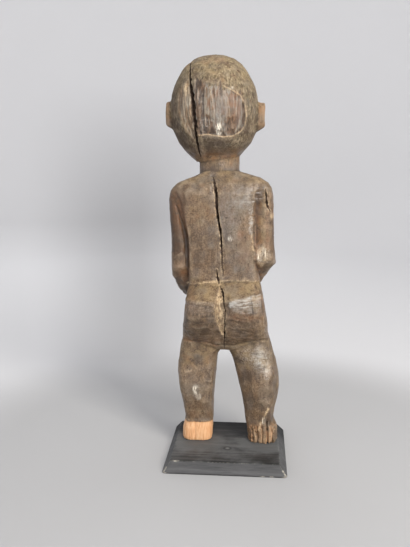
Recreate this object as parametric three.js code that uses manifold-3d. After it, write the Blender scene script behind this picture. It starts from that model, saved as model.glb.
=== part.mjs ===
import * as THREE from 'three';
import { mergeVertices } from 'three/addons/utils/BufferGeometryUtils.js';
import Module from 'manifold-3d';

const wasm = await Module();
wasm.setup();

// A carved hardwood figure that stands on a bevelled black board. Millimetres, +Z up.
// The figure looks along -Y and its own left side is +X.
// The origin is the centre of the board's underside.

const FIGURE_HEIGHT = 387;

const PLINTH_HEIGHT = 10.5;
const PLINTH_BEVEL = 7.4;
const PLINTH_CORNER_RADIUS = 3;
const PLINTH_EDGE_ROUND = 1;
const PLINTH_SIDE_MARGIN_LEFT = 5.4;
const PLINTH_SIDE_MARGIN_RIGHT = 1;
const PLINTH_FRONT_MARGIN = 4.5;
const PLINTH_BACK_MARGIN = 46;

// The carving is set out in thousandths of the figure's height.
// Heights are above the soles, and x and y are from the upright line that the carver worked to.
// Each height stands on the one below it, so a longer leg lifts all that it carries.
const SOLE = 0;
const CROTCH = SOLE + 251;
const BUTTOCK_RIDGE = CROTCH + 142;
const WAIST = BUTTOCK_RIDGE + 43;
const SHOULDER = WAIST + 223;
const NECK_FOOT = SHOULDER + 51;
const CHIN = NECK_FOOT + 40;
const MOUTH = CHIN + 45;
const NOSE_FOOT = MOUTH + 25;
const EYE = NOSE_FOOT + 48;
const CROWN = CHIN + 250;
const UNIT = FIGURE_HEIGHT / (CROWN - SOLE);

// Outlines of the two soles. The board's size follows them.
const LEFT_FOOT = { left: 122, right: 40, heel: 10, toe: -120 };
const RIGHT_FOOT = { left: -58, right: -136, heel: 13, toe: -118 };

const SIDES = 28;

// Closed skin over a row of rings with equally many points. A fan closes each end.
function skin(rings) {
  const count = rings[0].length;
  const points = rings.flat();
  const first = new THREE.Vector3();
  const last = new THREE.Vector3();
  rings[0].forEach((p) => first.addScaledVector(p, 1 / count));
  rings.at(-1).forEach((p) => last.addScaledVector(p, 1 / count));
  points.push(first, last);
  const index = [];
  for (let r = 0; r < rings.length - 1; r++) {
    for (let i = 0; i < count; i++) {
      const next = (i + 1) % count;
      const a = r * count + i;
      const b = r * count + next;
      index.push(a, b, b + count, a, b + count, a + count);
    }
  }
  const top = (rings.length - 1) * count;
  for (let i = 0; i < count; i++) {
    const next = (i + 1) % count;
    index.push(points.length - 2, next, i);
    index.push(points.length - 1, top + i, top + next);
  }
  const geometry = new THREE.BufferGeometry().setFromPoints(points);
  geometry.setIndex(index);
  return geometry;
}

function signedVolume(positions, index) {
  const [a, b, c] = [new THREE.Vector3(), new THREE.Vector3(), new THREE.Vector3()];
  let volume = 0;
  for (let i = 0; i < index.length; i += 3) {
    a.fromArray(positions, 3 * index[i]);
    b.fromArray(positions, 3 * index[i + 1]);
    c.fromArray(positions, 3 * index[i + 2]);
    volume += a.dot(b.cross(c)) / 6;
  }
  return volume;
}

// Turns a closed geometry into a solid that can be joined and cut.
function solid(geometry) {
  const bare = geometry.clone();
  bare.deleteAttribute('normal');
  bare.deleteAttribute('uv');
  const merged = mergeVertices(bare, 1e-4);
  const vertProperties = new Float32Array(merged.attributes.position.array);
  const triVerts = new Uint32Array(merged.index.array);
  if (signedVolume(vertProperties, triVerts) < 0) triVerts.reverse();
  return new wasm.Manifold(new wasm.Mesh({ numProp: 3, vertProperties, triVerts }));
}

function join(solids) {
  return solids.reduce((whole, piece) => whole.add(piece));
}

// One level of a form: its reach to each side, and how square its back and front corners are,
// where 2 is an ellipse and 8 is nearly a rectangle.
// rise lifts both sides, tip lifts the right side and drops the left, and turn twists the level.
const LEVEL_KEYS = ['left', 'right', 'back', 'front', 'squareBack', 'squareFront', 'rise', 'tip', 'turn'];

function withSquare(levels, squareBack, squareFront = squareBack) {
  return levels.map((level) => ({ squareBack, squareFront, ...level }));
}

function levelAt(levels, z, smooth) {
  const values = levels.flatMap((level) => LEVEL_KEYS.map((key) => level[key] ?? 0));
  const heights = levels.map((level) => level.z);
  const Kind = smooth ? THREE.CubicInterpolant : THREE.LinearInterpolant;
  const result = new Kind(heights, values, LEVEL_KEYS.length).evaluate(z);
  return Object.fromEntries(LEVEL_KEYS.map((key, i) => [key, result[i]]));
}

function bend(value, square) {
  return Math.sign(value) * Math.abs(value) ** (2 / square);
}

function levelRing(level, z, sides, inset) {
  const centre = new THREE.Vector2((level.left + level.right) / 2, (level.back + level.front) / 2);
  const halfWidth = (level.left - level.right) / 2 - inset;
  const halfDepth = (level.back - level.front) / 2 - inset;
  const ring = [];
  for (let i = 0; i < sides; i++) {
    const angle = (2 * Math.PI * (i + 0.5)) / sides;
    const square = Math.sin(angle) > 0 ? level.squareBack : level.squareFront;
    const across = bend(Math.cos(angle), square);
    const deep = bend(Math.sin(angle), square);
    const spot = new THREE.Vector2(halfWidth * across, halfDepth * deep);
    spot.rotateAround(new THREE.Vector2(), THREE.MathUtils.degToRad(level.turn)).add(centre);
    const lift = level.rise * Math.abs(across) - level.tip * across;
    ring.push(new THREE.Vector3(spot.x, spot.y, z + lift).multiplyScalar(UNIT));
  }
  return ring;
}

// Upright form through a few levels, with extra rings between them.
function upright(levels, { between = 0, smooth = true, sides = SIDES, inset = 0 } = {}) {
  const rings = [];
  levels.forEach((level, i) => {
    const next = levels[i + 1] ?? level;
    for (let k = 0; k <= (next === level ? 0 : between); k++) {
      const z = level.z + ((next.z - level.z) * k) / (between + 1);
      rings.push(levelRing(levelAt(levels, z, smooth), z, sides, inset));
    }
  });
  return solid(skin(rings));
}

// The point where an upright form's back surface lies at one place.
function backOf(levels, smooth = true) {
  return (x, z) => {
    const level = levelAt(levels, z, smooth);
    const centreX = (level.left + level.right) / 2;
    const centreY = (level.back + level.front) / 2;
    const share = Math.min(1, Math.abs(x - centreX) / ((level.left - level.right) / 2));
    const reach = (1 - share ** level.squareBack) ** (1 / level.squareBack);
    return new THREE.Vector3(x, centreY + ((level.back - level.front) / 2) * reach, z);
  };
}

// Limb along a path: each stop has a centre, a half width across the path and a half height.
function limb(stops, { square = 3, sides = 14, between = 1 } = {}) {
  const curve = new THREE.CatmullRomCurve3(stops.map((stop) => new THREE.Vector3(...stop.at)));
  const count = (stops.length - 1) * (between + 1);
  const rings = [];
  for (let i = 0; i <= count; i++) {
    const t = i / count;
    const centre = curve.getPoint(t);
    const along = curve.getTangent(t);
    const across = new THREE.Vector3(0, 0, 1).cross(along).normalize();
    const up = along.clone().cross(across).normalize();
    const low = Math.min(Math.floor(i / (between + 1)), stops.length - 2);
    const share = i / (between + 1) - low;
    const wide = THREE.MathUtils.lerp(stops[low].wide, stops[low + 1].wide, share);
    const high = THREE.MathUtils.lerp(stops[low].high, stops[low + 1].high, share);
    const ring = [];
    for (let k = 0; k < sides; k++) {
      const angle = (2 * Math.PI * (k + 0.5)) / sides;
      const spot = centre.clone();
      spot.addScaledVector(across, wide * bend(Math.cos(angle), square));
      spot.addScaledVector(up, high * bend(Math.sin(angle), square));
      ring.push(spot.multiplyScalar(UNIT));
    }
    rings.push(ring);
  }
  return solid(skin(rings));
}

// Ball stretched to three half sizes.
function ball(at, size, [around, down] = [16, 10]) {
  const geometry = new THREE.SphereGeometry(1, around, down);
  geometry.rotateX(Math.PI / 2);
  geometry.scale(...size.map((half) => half * UNIT));
  geometry.translate(...at.map((place) => place * UNIT));
  return solid(geometry);
}

// Block through two or more rows, each a rectangle whose top corners may lean in.
function wedge(rows) {
  const rings = rows.map(({ y, left, right, top, foot, lean = 0 }) => [
    new THREE.Vector3(left, y, foot),
    new THREE.Vector3(left - lean, y, top),
    new THREE.Vector3(right + lean, y, top),
    new THREE.Vector3(right, y, foot),
  ].map((p) => p.multiplyScalar(UNIT)));
  return solid(skin(rings));
}

// A line of [x, height] points whose heights count from a landmark.
function from(landmark, line) {
  return line.map(([x, height]) => [x, landmark + height]);
}

// Open split in the wood: a slot that tapers at both ends and follows a line down a surface.
// surface gives the point of the form at (x, z), and inward the way from there to the heart of the log.
function split(line, { surface, inward = () => new THREE.Vector3(0, -1, 0), width, depth, ends = 0.3 }) {
  const proud = 6;
  const path = new THREE.CatmullRomCurve3(line.map(([x, z]) => new THREE.Vector3(x, 0, z)));
  const steps = 2 * (line.length - 1);
  const rings = [];
  for (let i = 0; i <= steps; i++) {
    const spot = path.getPoint(i / steps);
    const onSkin = surface(spot.x, spot.z);
    const way = inward(onSkin);
    const side = new THREE.Vector3(0, 0, 1).cross(way).normalize();
    const open = ends + (1 - ends) * Math.sin((Math.PI * (i + 0.5)) / (steps + 1));
    const mouth = onSkin.clone().addScaledVector(way, -proud);
    const heart = onSkin.clone().addScaledVector(way, depth * open);
    const half = (width * open) / 2;
    rings.push([
      mouth.clone().addScaledVector(side, half * 1.2),
      mouth.clone().addScaledVector(side, -half * 1.2),
      heart.clone().addScaledVector(side, -half * 0.3),
      heart.clone().addScaledVector(side, half * 0.3),
    ].map((p) => p.multiplyScalar(UNIT)));
  }
  return solid(skin(rings));
}

// Upright prism behind the figure with an outline seen from behind, from y = front to y = back.
function prism(outline, { front = 0, back = 110 } = {}) {
  const shape = new THREE.Shape(outline.map(([x, z]) => new THREE.Vector2(x, z)));
  const geometry = new THREE.ExtrudeGeometry(shape, { depth: back - front, bevelEnabled: false });
  geometry.rotateX(Math.PI / 2);
  geometry.translate(0, back, 0);
  geometry.scale(UNIT, UNIT, UNIT);
  return solid(geometry);
}

// Head: a domed egg that narrows like a bowl to the neck, lower on its left side.
const HEAD = withSquare([
  { z: CHIN - 9, left: 82, right: -15, back: 14, front: -96 },
  { z: CHIN + 4, left: 97, right: -26, back: 31, front: -114 },
  { z: CHIN + 19, left: 113, right: -40, back: 45, front: -125 },
  { z: CHIN + 40, left: 128, right: -58, back: 59, front: -131 },
  { z: CHIN + 66, left: 140, right: -70, back: 71, front: -132 },
  { z: CHIN + 99, left: 146, right: -74, back: 79, front: -130 },
  { z: CHIN + 131, left: 146, right: -73, back: 80, front: -129 },
  { z: CHIN + 159, left: 142, right: -68, back: 76, front: -126 },
  { z: CHIN + 176, left: 137, right: -64, back: 70, front: -122 },
  { z: CHIN + 194, left: 128, right: -55, back: 61, front: -113 },
  { z: CHIN + 212, left: 118, right: -45, back: 50, front: -102 },
  { z: CHIN + 228, left: 104, right: -32, back: 37, front: -89 },
  { z: CHIN + 240, left: 87, right: -15, back: 21, front: -73 },
  { z: CHIN + 248, left: 66, right: 5, back: 2, front: -54 },
  { z: CROWN, left: 50, right: 21, back: -13, front: -39 },
], 2.15);
const HEAD_HEART = new THREE.Vector3(37, -25, 0);
const EAR = { front: -46, middle: -14, rim: 20, hollow: 11 };

function towardHeadHeart(onSkin) {
  return HEAD_HEART.clone().setZ(onSkin.z).sub(onSkin).normalize();
}

// Ear: a plate that stands out from the head, round behind, with its foot cut on a slant.
function ear({ root, tip, foot, top }) {
  const middle = (top + foot) / 2;
  const half = (top - foot) / 2;
  const outline = new THREE.Shape();
  outline.moveTo(EAR.front, foot + 5);
  outline.lineTo(EAR.front, top - 4);
  outline.lineTo(EAR.middle, top);
  outline.absellipse(EAR.middle, middle, EAR.rim, half, Math.PI / 2, -Math.PI / 2, true);
  const hollow = new THREE.Shape();
  hollow.absellipse(EAR.middle - 14, middle, EAR.rim + 3, half - EAR.hollow, 0, 2 * Math.PI);
  const reach = Math.abs(tip - root);
  const pieces = [outline, hollow].map((shape, i) => {
    const plate = { depth: reach, bevelEnabled: false, curveSegments: 7 };
    const geometry = new THREE.ExtrudeGeometry(shape, plate);
    geometry.rotateY(Math.PI / 2);
    geometry.rotateX(Math.PI / 2);
    geometry.translate(Math.min(root, tip) + i * Math.sign(tip - root) * reach * 0.6, 0, 0);
    geometry.scale(UNIT, UNIT, UNIT);
    return solid(geometry);
  });
  const slant = prism([
    [tip, foot + 12],
    [tip + Math.sign(tip) * 20, foot + 12],
    [tip + Math.sign(tip) * 20, foot - 20],
    [root, foot - 20],
    [tip - Math.sign(tip) * 20, foot],
  ], { front: -80, back: 60 });
  return pieces[0].subtract(pieces[1]).subtract(slant);
}

// Face: calm and regular, with lowered lids, a straight nose and closed lips.
// This is its height over the egg of the head, u across from the nose and z up.
function faceRelief(u, z) {
  const across = Math.abs(u);
  const hill = (x, y) => Math.exp(-x * x - y * y);
  const dome = (x, y) => Math.sqrt(Math.max(0, 1 - x * x - y * y));
  const fall = (EYE + 16 - z) / (EYE + 16 - NOSE_FOOT);
  const bridge = fall > 1 ? Math.max(0, 1 - 9 * (fall - 1)) : 1;
  const noseHalf = 9 + 8 * fall;
  const nose = fall > 0 ? (5 + 16 * fall) * bridge * dome(u / noseHalf, 0) : 0;
  const brow = 5 * hill(across / 84, (z - (EYE + 24 - (across - 30) ** 2 / 260)) / 10);
  const socket = -6 * hill((across - 41) / 27, (z - EYE + 2) / 15);
  const lid = 10 * dome((across - 41) / 29, (z - EYE + 3) / 14);
  const wing = 9 * hill((across - 12) / 7, (z - NOSE_FOOT - 6) / 8);
  const muzzle = 6 * hill(u / 40, (z - MOUTH) / 28);
  const upperLip = 8 * hill(0, (z - MOUTH - 5) / 5.5) * dome(u / 32, 0);
  const lowerLip = 8 * hill(0, (z - MOUTH + 8) / 6) * dome(u / 28, 0);
  const chin = 8 * hill(u / 25, (z - CHIN - 17) / 12);
  const cheek = 3 * hill((across - 54) / 20, (z - NOSE_FOOT - 8) / 22);
  return brow + socket + lid + Math.max(nose, wing) + muzzle + upperLip + lowerLip + chin + cheek;
}

// The carved face as a block let into the head: a grid in front, flat behind.
function face() {
  const foot = CHIN;
  const forehead = EYE + 58;
  const steps = 24;
  const forward = HEAD.map((level) => ({ ...level, back: -level.front, front: -level.back }));
  const onFront = backOf(forward);
  const rings = [];
  for (let r = 0; r <= steps; r++) {
    const z = THREE.MathUtils.lerp(foot, forehead, r / steps);
    const level = levelAt(HEAD, z, true);
    const half = 0.4 * (level.left - level.right);
    const middle = (level.left + level.right) / 2;
    const ring = [];
    for (let c = 0; c <= steps; c++) {
      const share = 1 - (2 * c) / steps;
      const x = middle + half * share;
      const edge = Math.min(1 - Math.abs(share), r / steps, 1 - r / steps);
      const inside = THREE.MathUtils.smoothstep(edge, 0, 0.16);
      const height = THREE.MathUtils.lerp(-4, 0.5, inside) + faceRelief(x - HEAD_HEART.x, z) * inside;
      ring.push(new THREE.Vector3(x, -onFront(x, z).y - height, z));
    }
    ring.push(new THREE.Vector3(middle - half, -50, z), new THREE.Vector3(middle + half, -50, z));
    rings.push(ring.map((p) => p.multiplyScalar(UNIT)));
  }
  const slits = [-1, 1].map((side) => {
    const left = HEAD_HEART.x + side * 41 + 23;
    const right = left - 46;
    return wedge([
      { y: -112, left, right, top: EYE - 7, foot: EYE - 9 },
      { y: -145, left, right, top: EYE - 6, foot: EYE - 13 },
    ]);
  });
  return solid(skin(rings)).subtract(join(slits));
}

function head() {
  const neck = upright(withSquare([
    { z: NECK_FOOT - 26, left: 74, right: -27, back: 13, front: -66 },
    { z: CHIN + 34, left: 74, right: -27, back: 13, front: -80 },
  ], 2.2));
  const leftEar = ear({ root: 124, tip: 156, foot: CHIN + 69, top: CHIN + 138 });
  const rightEar = ear({ root: -56, tip: -90, foot: CHIN + 65, top: CHIN + 135 });
  return join([upright(HEAD), face(), neck, leftEar, rightEar]);
}

// Worn patches on the back of the head, on each side of the long split.
function headWear() {
  const below = upright(HEAD.map((level) => ({ ...level, z: level.z + 4 })), { inset: 3 });
  const broad = prism(from(CHIN, [
    [61, 176], [10, 167], [-14, 156], [-31, 146], [-42, 122], [-45, 100], [-42, 80], [-33, 63],
    [-14, 52], [8, 49], [49, 55], [68, 53], [79, 84], [82, 117], [85, 148], [78, 172],
  ]));
  const narrow = prism(from(CHIN, [
    [93, 186], [112, 164], [120, 148], [120, 119], [110, 90],
    [98, 64], [80, 44], [80, 84], [84, 117], [88, 148],
  ]));
  return broad.add(narrow).subtract(below);
}

function headSplit() {
  const line = from(CHIN, [
    [94, 230], [92, 212], [90, 180], [85, 148], [82, 117], [79, 84], [76, 50], [71, 17], [67, 2],
  ]);
  return split(line, { surface: backOf(HEAD), inward: towardHeadHeart, width: 7.5, depth: 36 });
}

// Trunk: a flat back that widens to the shoulders and slopes up to the neck.
const TRUNK = withSquare([
  { z: WAIST - 32, left: 98, right: -80, back: 8, front: -78, tip: 6 },
  { z: WAIST, left: 100, right: -82, back: 22, front: -91, tip: 6 },
  { z: WAIST + 48, left: 102, right: -73, back: 25, front: -97 },
  { z: WAIST + 104, left: 108, right: -67, back: 29, front: -95 },
  { z: SHOULDER - 69, left: 119, right: -67, back: 32, front: -93 },
  { z: SHOULDER - 29, left: 132, right: -72, back: 35, front: -92 },
  { z: SHOULDER, left: 145, right: -80, back: 36, front: -88 },
  { z: SHOULDER + 9, left: 145, right: -96, back: 35, front: -85 },
  { z: SHOULDER + 18, left: 139, right: -107, back: 33, front: -81 },
  { z: SHOULDER + 29, left: 126, right: -101, back: 29, front: -77 },
  { z: SHOULDER + 41, left: 95, right: -81, back: 22, front: -74 },
  { z: NECK_FOOT + 6, left: 60, right: -28, back: 13, front: -72 },
], 8, 3.4);

function trunk() {
  const navel = ball([14, -96, WAIST + 42], [8, 8, 8], [10, 6]);
  return upright(TRUNK).add(navel);
}

function backSplits() {
  const surface = backOf(TRUNK);
  const long = from(SHOULDER, [
    [36, 43], [31, 21], [27, -4], [26, -34], [24, -56],
    [19, -82], [16, -103], [14, -139], [13, -169], [10, -207],
  ]);
  const short = from(SHOULDER, [[27, -189], [25, -209], [20, -227]]);
  return split(long, { surface, width: 6, depth: 22 }).add(split(short, { surface, width: 5, depth: 14 }));
}

// Buttocks and hips: a sloping top, a ridge, and an underside that folds in to the thighs.
const HIPS = withSquare([
  { z: CROTCH, left: 110, right: -99, back: 6, front: -70, rise: 10 },
  { z: CROTCH + 19, left: 119, right: -107, back: 21, front: -80, rise: 18 },
  { z: BUTTOCK_RIDGE - 75, left: 116, right: -104, back: 48, front: -86, rise: 6, tip: 3 },
  { z: BUTTOCK_RIDGE - 41, left: 112, right: -98, back: 60, front: -91, tip: 5 },
  { z: BUTTOCK_RIDGE, left: 107, right: -91, back: 65, front: -94, tip: 6 },
  { z: BUTTOCK_RIDGE + 10, left: 106, right: -88, back: 60, front: -94, tip: 6 },
  { z: WAIST, left: 100, right: -82, back: 25, front: -84, tip: 6 },
  { z: WAIST + 16, left: 94, right: -74, back: 6, front: -70 },
], 4.2, 3);

function hips() {
  return upright(HIPS, { smooth: false });
}

// The torn sliver beside the cleft, and the split that runs down into the cleft itself.
function hipSplits() {
  const surface = backOf(HIPS, false);
  const below = upright(HIPS, { smooth: false, inset: 9 });
  const tear = prism(from(BUTTOCK_RIDGE, [
    [18, 13], [27, -1], [29, -21], [27, -43], [18, -68], [10, -91], [4, -75], [2, -21], [6, 11],
  ]));
  const upper = from(BUTTOCK_RIDGE, [[18, 37], [11, 22], [7, 9], [5, -13]]);
  const lower = from(BUTTOCK_RIDGE, [[5, 3], [3, -21], [4, -53], [5, -83], [7, -109], [7, -131]]);
  return join([
    split(upper, { surface, width: 7, depth: 22 }),
    split(lower, { surface, width: 7, depth: 26 }),
    tear.subtract(below),
  ]);
}

// Upper arms: flat behind, each with an elbow that is cut away slanting in to the waist.
const LEFT_ARM = withSquare([
  { z: SHOULDER - 255, left: 124, right: 76, back: -37, front: -60 },
  { z: SHOULDER - 235, left: 135, right: 76, back: -22, front: -62 },
  { z: SHOULDER - 211, left: 147, right: 76, back: -2, front: -65 },
  { z: SHOULDER - 187, left: 146, right: 76, back: 17, front: -66 },
  { z: SHOULDER - 129, left: 145, right: 78, back: 20, front: -66 },
  { z: SHOULDER - 67, left: 147, right: 82, back: 24, front: -64 },
  { z: SHOULDER - 13, left: 150, right: 86, back: 28, front: -62 },
  { z: SHOULDER + 5, left: 146, right: 88, back: 28, front: -56 },
  { z: SHOULDER + 23, left: 132, right: 90, back: 20, front: -46 },
], 4, 3);
const RIGHT_ARM = withSquare([
  { z: SHOULDER - 227, right: -84, left: -46, back: -36, front: -58 },
  { z: SHOULDER - 211, right: -95, left: -46, back: -22, front: -60 },
  { z: SHOULDER - 176, right: -123, left: -46, back: 9, front: -66 },
  { z: SHOULDER - 164, right: -122, left: -46, back: 20, front: -68 },
  { z: SHOULDER - 119, right: -118, left: -46, back: 23, front: -66 },
  { z: SHOULDER - 67, right: -115, left: -48, back: 26, front: -64 },
  { z: SHOULDER - 3, right: -114, left: -50, back: 31, front: -72 },
  { z: SHOULDER + 15, right: -110, left: -54, back: 34, front: -76 },
  { z: SHOULDER + 27, right: -102, left: -60, back: 29, front: -70 },
], 4, 3);

// Each forearm runs forward, down and in, and its hand lies flat on the belly.
function arm(levels, stops) {
  const upper = upright(levels, { smooth: false, sides: 20 });
  const [x, y, z] = stops.at(-1).at;
  const knuckles = stops.at(-2).at[0];
  const left = Math.max(x, knuckles) + 3;
  const right = Math.min(x, knuckles) - 3;
  const gaps = [-11, 0, 11].map((drop) => wedge([
    { y: y - 30, left, right, top: z + drop + 4, foot: z + drop - 4 },
    { y: y - 5, left, right, top: z + drop + 1, foot: z + drop - 1 },
  ]));
  return upper.add(limb(stops)).subtract(join(gaps));
}

function arms() {
  const left = arm(LEFT_ARM, [
    { at: [114, -20, SHOULDER - 173], wide: 32, high: 36 },
    { at: [107, -46, SHOULDER - 212], wide: 30, high: 42 },
    { at: [96, -70, SHOULDER - 238], wide: 28, high: 38 },
    { at: [76, -88, SHOULDER - 240], wide: 19, high: 26 },
    { at: [52, -100, SHOULDER - 244], wide: 14, high: 25 },
    { at: [24, -103, SHOULDER - 244], wide: 9, high: 23 },
  ]);
  const right = arm(RIGHT_ARM, [
    { at: [-88, -20, SHOULDER - 151], wide: 30, high: 34 },
    { at: [-75, -46, SHOULDER - 186], wide: 24, high: 38 },
    { at: [-66, -70, SHOULDER - 212], wide: 21, high: 30 },
    { at: [-50, -88, SHOULDER - 226], wide: 16, high: 24 },
    { at: [-28, -100, SHOULDER - 233], wide: 13, high: 25 },
    { at: [0, -103, SHOULDER - 233], wide: 9, high: 23 },
  ]);
  return left.add(right);
}

// Grooves between the arms and the back, and the split and notch in the right shoulder.
function armCuts() {
  const leftGroove = from(SHOULDER, [
    [136, -7], [127, -35], [116, -71], [108, -104], [105, -145], [103, -189], [101, -219],
  ]);
  const rightGroove = from(SHOULDER, [
    [-80, -7], [-72, -29], [-67, -69], [-67, -119], [-72, -164], [-78, -199], [-84, -223],
  ]);
  const shoulderSplit = from(SHOULDER, [[-94, 15], [-96, -9], [-99, -29], [-107, -41]]);
  const onLeft = backOf(LEFT_ARM, false);
  const onRight = backOf(RIGHT_ARM, false);
  return join([
    split(leftGroove, { surface: (x, z) => onLeft(114, z).setX(x), width: 10, depth: 5 }),
    split(rightGroove, { surface: (x, z) => onRight(-80, z).setX(x), width: 6, depth: 4 }),
    split(shoulderSplit, { surface: onRight, width: 5, depth: 14 }),
    ball([-119, 0, SHOULDER - 47], [6, 14, 4], [8, 4]),
  ]);
}

// Legs: the left one stands straight and the right one is turned outwards.
// Each starts at its heel, and the back of the heel is part of it.
const LEFT_LEG = withSquare([
  { z: SOLE - 6, left: LEFT_FOOT.left - 4, right: LEFT_FOOT.right, back: LEFT_FOOT.heel - 3, front: -70 },
  { z: SOLE + 8, left: LEFT_FOOT.left, right: LEFT_FOOT.right - 1, back: LEFT_FOOT.heel, front: -70 },
  { z: SOLE + 32, left: 121, right: 38, back: 9, front: -70 },
  { z: SOLE + 52, left: 115, right: 38, back: 6, front: -68 },
  { z: SOLE + 62, left: 113, right: 38, back: 4, front: -66 },
  { z: SOLE + 84, left: 116, right: 38, back: 6, front: -65 },
  { z: SOLE + 114, left: 122, right: 38, back: 11, front: -70 },
  { z: SOLE + 148, left: 129, right: 35, back: 13, front: -79 },
  { z: SOLE + 181, left: 134, right: 32, back: 9, front: -88 },
  { z: CROTCH - 37, left: 132, right: 30, back: 5, front: -92 },
  { z: CROTCH - 15, left: 129, right: 26, back: 7, front: -90 },
  { z: CROTCH - 1, left: 127, right: 18, back: 10, front: -86 },
  { z: CROTCH + 33, left: 119, right: 0, back: 17, front: -80 },
  { z: CROTCH + 67, left: 112, right: 0, back: 20, front: -76 },
], 3.4);
const RIGHT_LEG = withSquare([
  { z: SOLE - 6, left: RIGHT_FOOT.left, right: RIGHT_FOOT.right + 5, back: RIGHT_FOOT.heel - 2, front: -72 },
  { z: SOLE + 8, left: RIGHT_FOOT.left + 1, right: RIGHT_FOOT.right + 1, back: RIGHT_FOOT.heel, front: -72 },
  { z: SOLE + 34, left: -55, right: -134, back: 12, front: -70, turn: -3 },
  { z: SOLE + 52, left: -51, right: -125, back: 7, front: -70, turn: -8 },
  { z: SOLE + 62, left: -50, right: -122, back: 5, front: -68, turn: -12 },
  { z: SOLE + 84, left: -49, right: -124, back: 7, front: -67, turn: -16 },
  { z: SOLE + 114, left: -45, right: -131, back: 11, front: -72, turn: -20 },
  { z: SOLE + 148, left: -37, right: -135, back: 13, front: -80, turn: -22 },
  { z: SOLE + 181, left: -29, right: -133, back: 9, front: -87, turn: -20 },
  { z: CROTCH - 37, left: -20, right: -126, back: 5, front: -91, turn: -16 },
  { z: CROTCH - 15, left: -11, right: -121, back: 7, front: -89, turn: -10 },
  { z: CROTCH - 1, left: -3, right: -118, back: 10, front: -86, turn: -6 },
  { z: CROTCH + 33, left: 8, right: -108, back: 17, front: -80 },
  { z: CROTCH + 67, left: 8, right: -101, back: 20, front: -76 },
], 3.4);

// Front of a foot: a block that thins to four slots between five toes.
function forefoot({ left, right, toe }) {
  const block = wedge([
    { y: -24, left: left - 8, right: right + 8, top: 58, foot: SOLE - 10, lean: 12 },
    { y: -54, left: left - 2, right: right + 2, top: 60, foot: SOLE - 10, lean: 18 },
    { y: -82, left, right, top: 38, foot: SOLE - 10, lean: 12 },
    { y: toe + 12, left: left - 1, right: right + 1, top: 25, foot: SOLE - 10, lean: 5 },
    { y: toe, left: left - 6, right: right + 6, top: 13, foot: SOLE - 10, lean: 4 },
  ]);
  const slots = [1, 2, 3, 4].map((n) => {
    const x = THREE.MathUtils.lerp(left, right, n / 5);
    return wedge([
      { y: toe + 30, left: x + 0.8, right: x - 0.8, top: 60, foot: 24 },
      { y: toe - 10, left: x + 2.6, right: x - 2.6, top: 60, foot: SOLE - 14 },
    ]);
  });
  return block.subtract(join(slots));
}

function legs() {
  return join([
    upright(LEFT_LEG, { sides: 22 }),
    upright(RIGHT_LEG, { sides: 22 }),
    forefoot(LEFT_FOOT),
    forefoot(RIGHT_FOOT),
  ]);
}

// The right heel has rotted away in upright furrows.
function heelFurrows() {
  const furrows = 5;
  const surface = backOf(RIGHT_LEG);
  const cuts = Array.from({ length: furrows }, (_, n) => {
    const x = THREE.MathUtils.lerp(RIGHT_FOOT.left - 4, RIGHT_FOOT.right + 8, (n + 0.5) / furrows);
    const top = 52 + 9 * Math.sin(2.4 * n + 1);
    const depth = 6 + 3 * (n % 2);
    return split([[x + 2, top], [x, 30], [x - 1, -8]], { surface, width: 8, depth, ends: 0.6 });
  });
  return join(cuts);
}

function figure() {
  const body = join([head(), trunk(), hips(), arms(), legs()]);
  const wear = join([headWear(), headSplit(), backSplits(), hipSplits(), armCuts(), heelFurrows()]);
  const below = { left: 200, right: -200, top: SOLE, foot: SOLE - 60 };
  const ground = wedge([{ y: 100, ...below }, { y: -200, ...below }]);
  return body.subtract(wear).subtract(ground);
}

// The board's top face reaches past the soles by a margin on each side.
function plinthPlan() {
  const left = LEFT_FOOT.left * UNIT + PLINTH_SIDE_MARGIN_LEFT;
  const right = RIGHT_FOOT.right * UNIT - PLINTH_SIDE_MARGIN_RIGHT;
  const back = Math.max(LEFT_FOOT.heel, RIGHT_FOOT.heel) * UNIT + PLINTH_BACK_MARGIN;
  const front = Math.min(LEFT_FOOT.toe, RIGHT_FOOT.toe) * UNIT - PLINTH_FRONT_MARGIN;
  return { left, right, back, front };
}

// Outline of the board that stands out past its top face by reach, with round corners.
function boardRing({ left, right, back, front }, reach, z) {
  const radius = PLINTH_CORNER_RADIUS;
  const x = (left - right) / 2 + reach - radius;
  const y = (back - front) / 2 + reach - radius;
  const shape = new THREE.Shape();
  shape.absarc(x, y, radius, 0, Math.PI / 2);
  shape.absarc(-x, y, radius, Math.PI / 2, Math.PI);
  shape.absarc(-x, -y, radius, Math.PI, 1.5 * Math.PI);
  shape.absarc(x, -y, radius, 1.5 * Math.PI, 2 * Math.PI);
  return shape.getPoints(4).slice(0, -1).map((p) => new THREE.Vector3(p.x, p.y, z));
}

function plinth() {
  const plan = plinthPlan();
  const round = PLINTH_EDGE_ROUND;
  const slope = PLINTH_BEVEL / PLINTH_HEIGHT;
  return solid(skin([
    boardRing(plan, PLINTH_BEVEL - 0.5 * round, 0),
    boardRing(plan, PLINTH_BEVEL, 0.5 * round),
    boardRing(plan, PLINTH_BEVEL - 0.2 * round, round),
    boardRing(plan, slope * round, PLINTH_HEIGHT - round),
    boardRing(plan, 0.2 * round, PLINTH_HEIGHT - 0.3 * round),
    boardRing(plan, -0.5 * round, PLINTH_HEIGHT),
  ]));
}

function mesh(name, shape, material) {
  const { vertProperties, triVerts } = shape.getMesh();
  const geometry = new THREE.BufferGeometry();
  geometry.setAttribute('position', new THREE.BufferAttribute(vertProperties, 3));
  geometry.setIndex(new THREE.BufferAttribute(triVerts, 1));
  geometry.computeVertexNormals();
  const object = new THREE.Mesh(geometry, material);
  object.name = name;
  return object;
}

const carvedWood = new THREE.MeshStandardMaterial({ color: 0x85735f, roughness: 0.6, metalness: 0 });
const blackWood = new THREE.MeshStandardMaterial({ color: 0x2f2e2d, roughness: 0.55, metalness: 0 });

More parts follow.
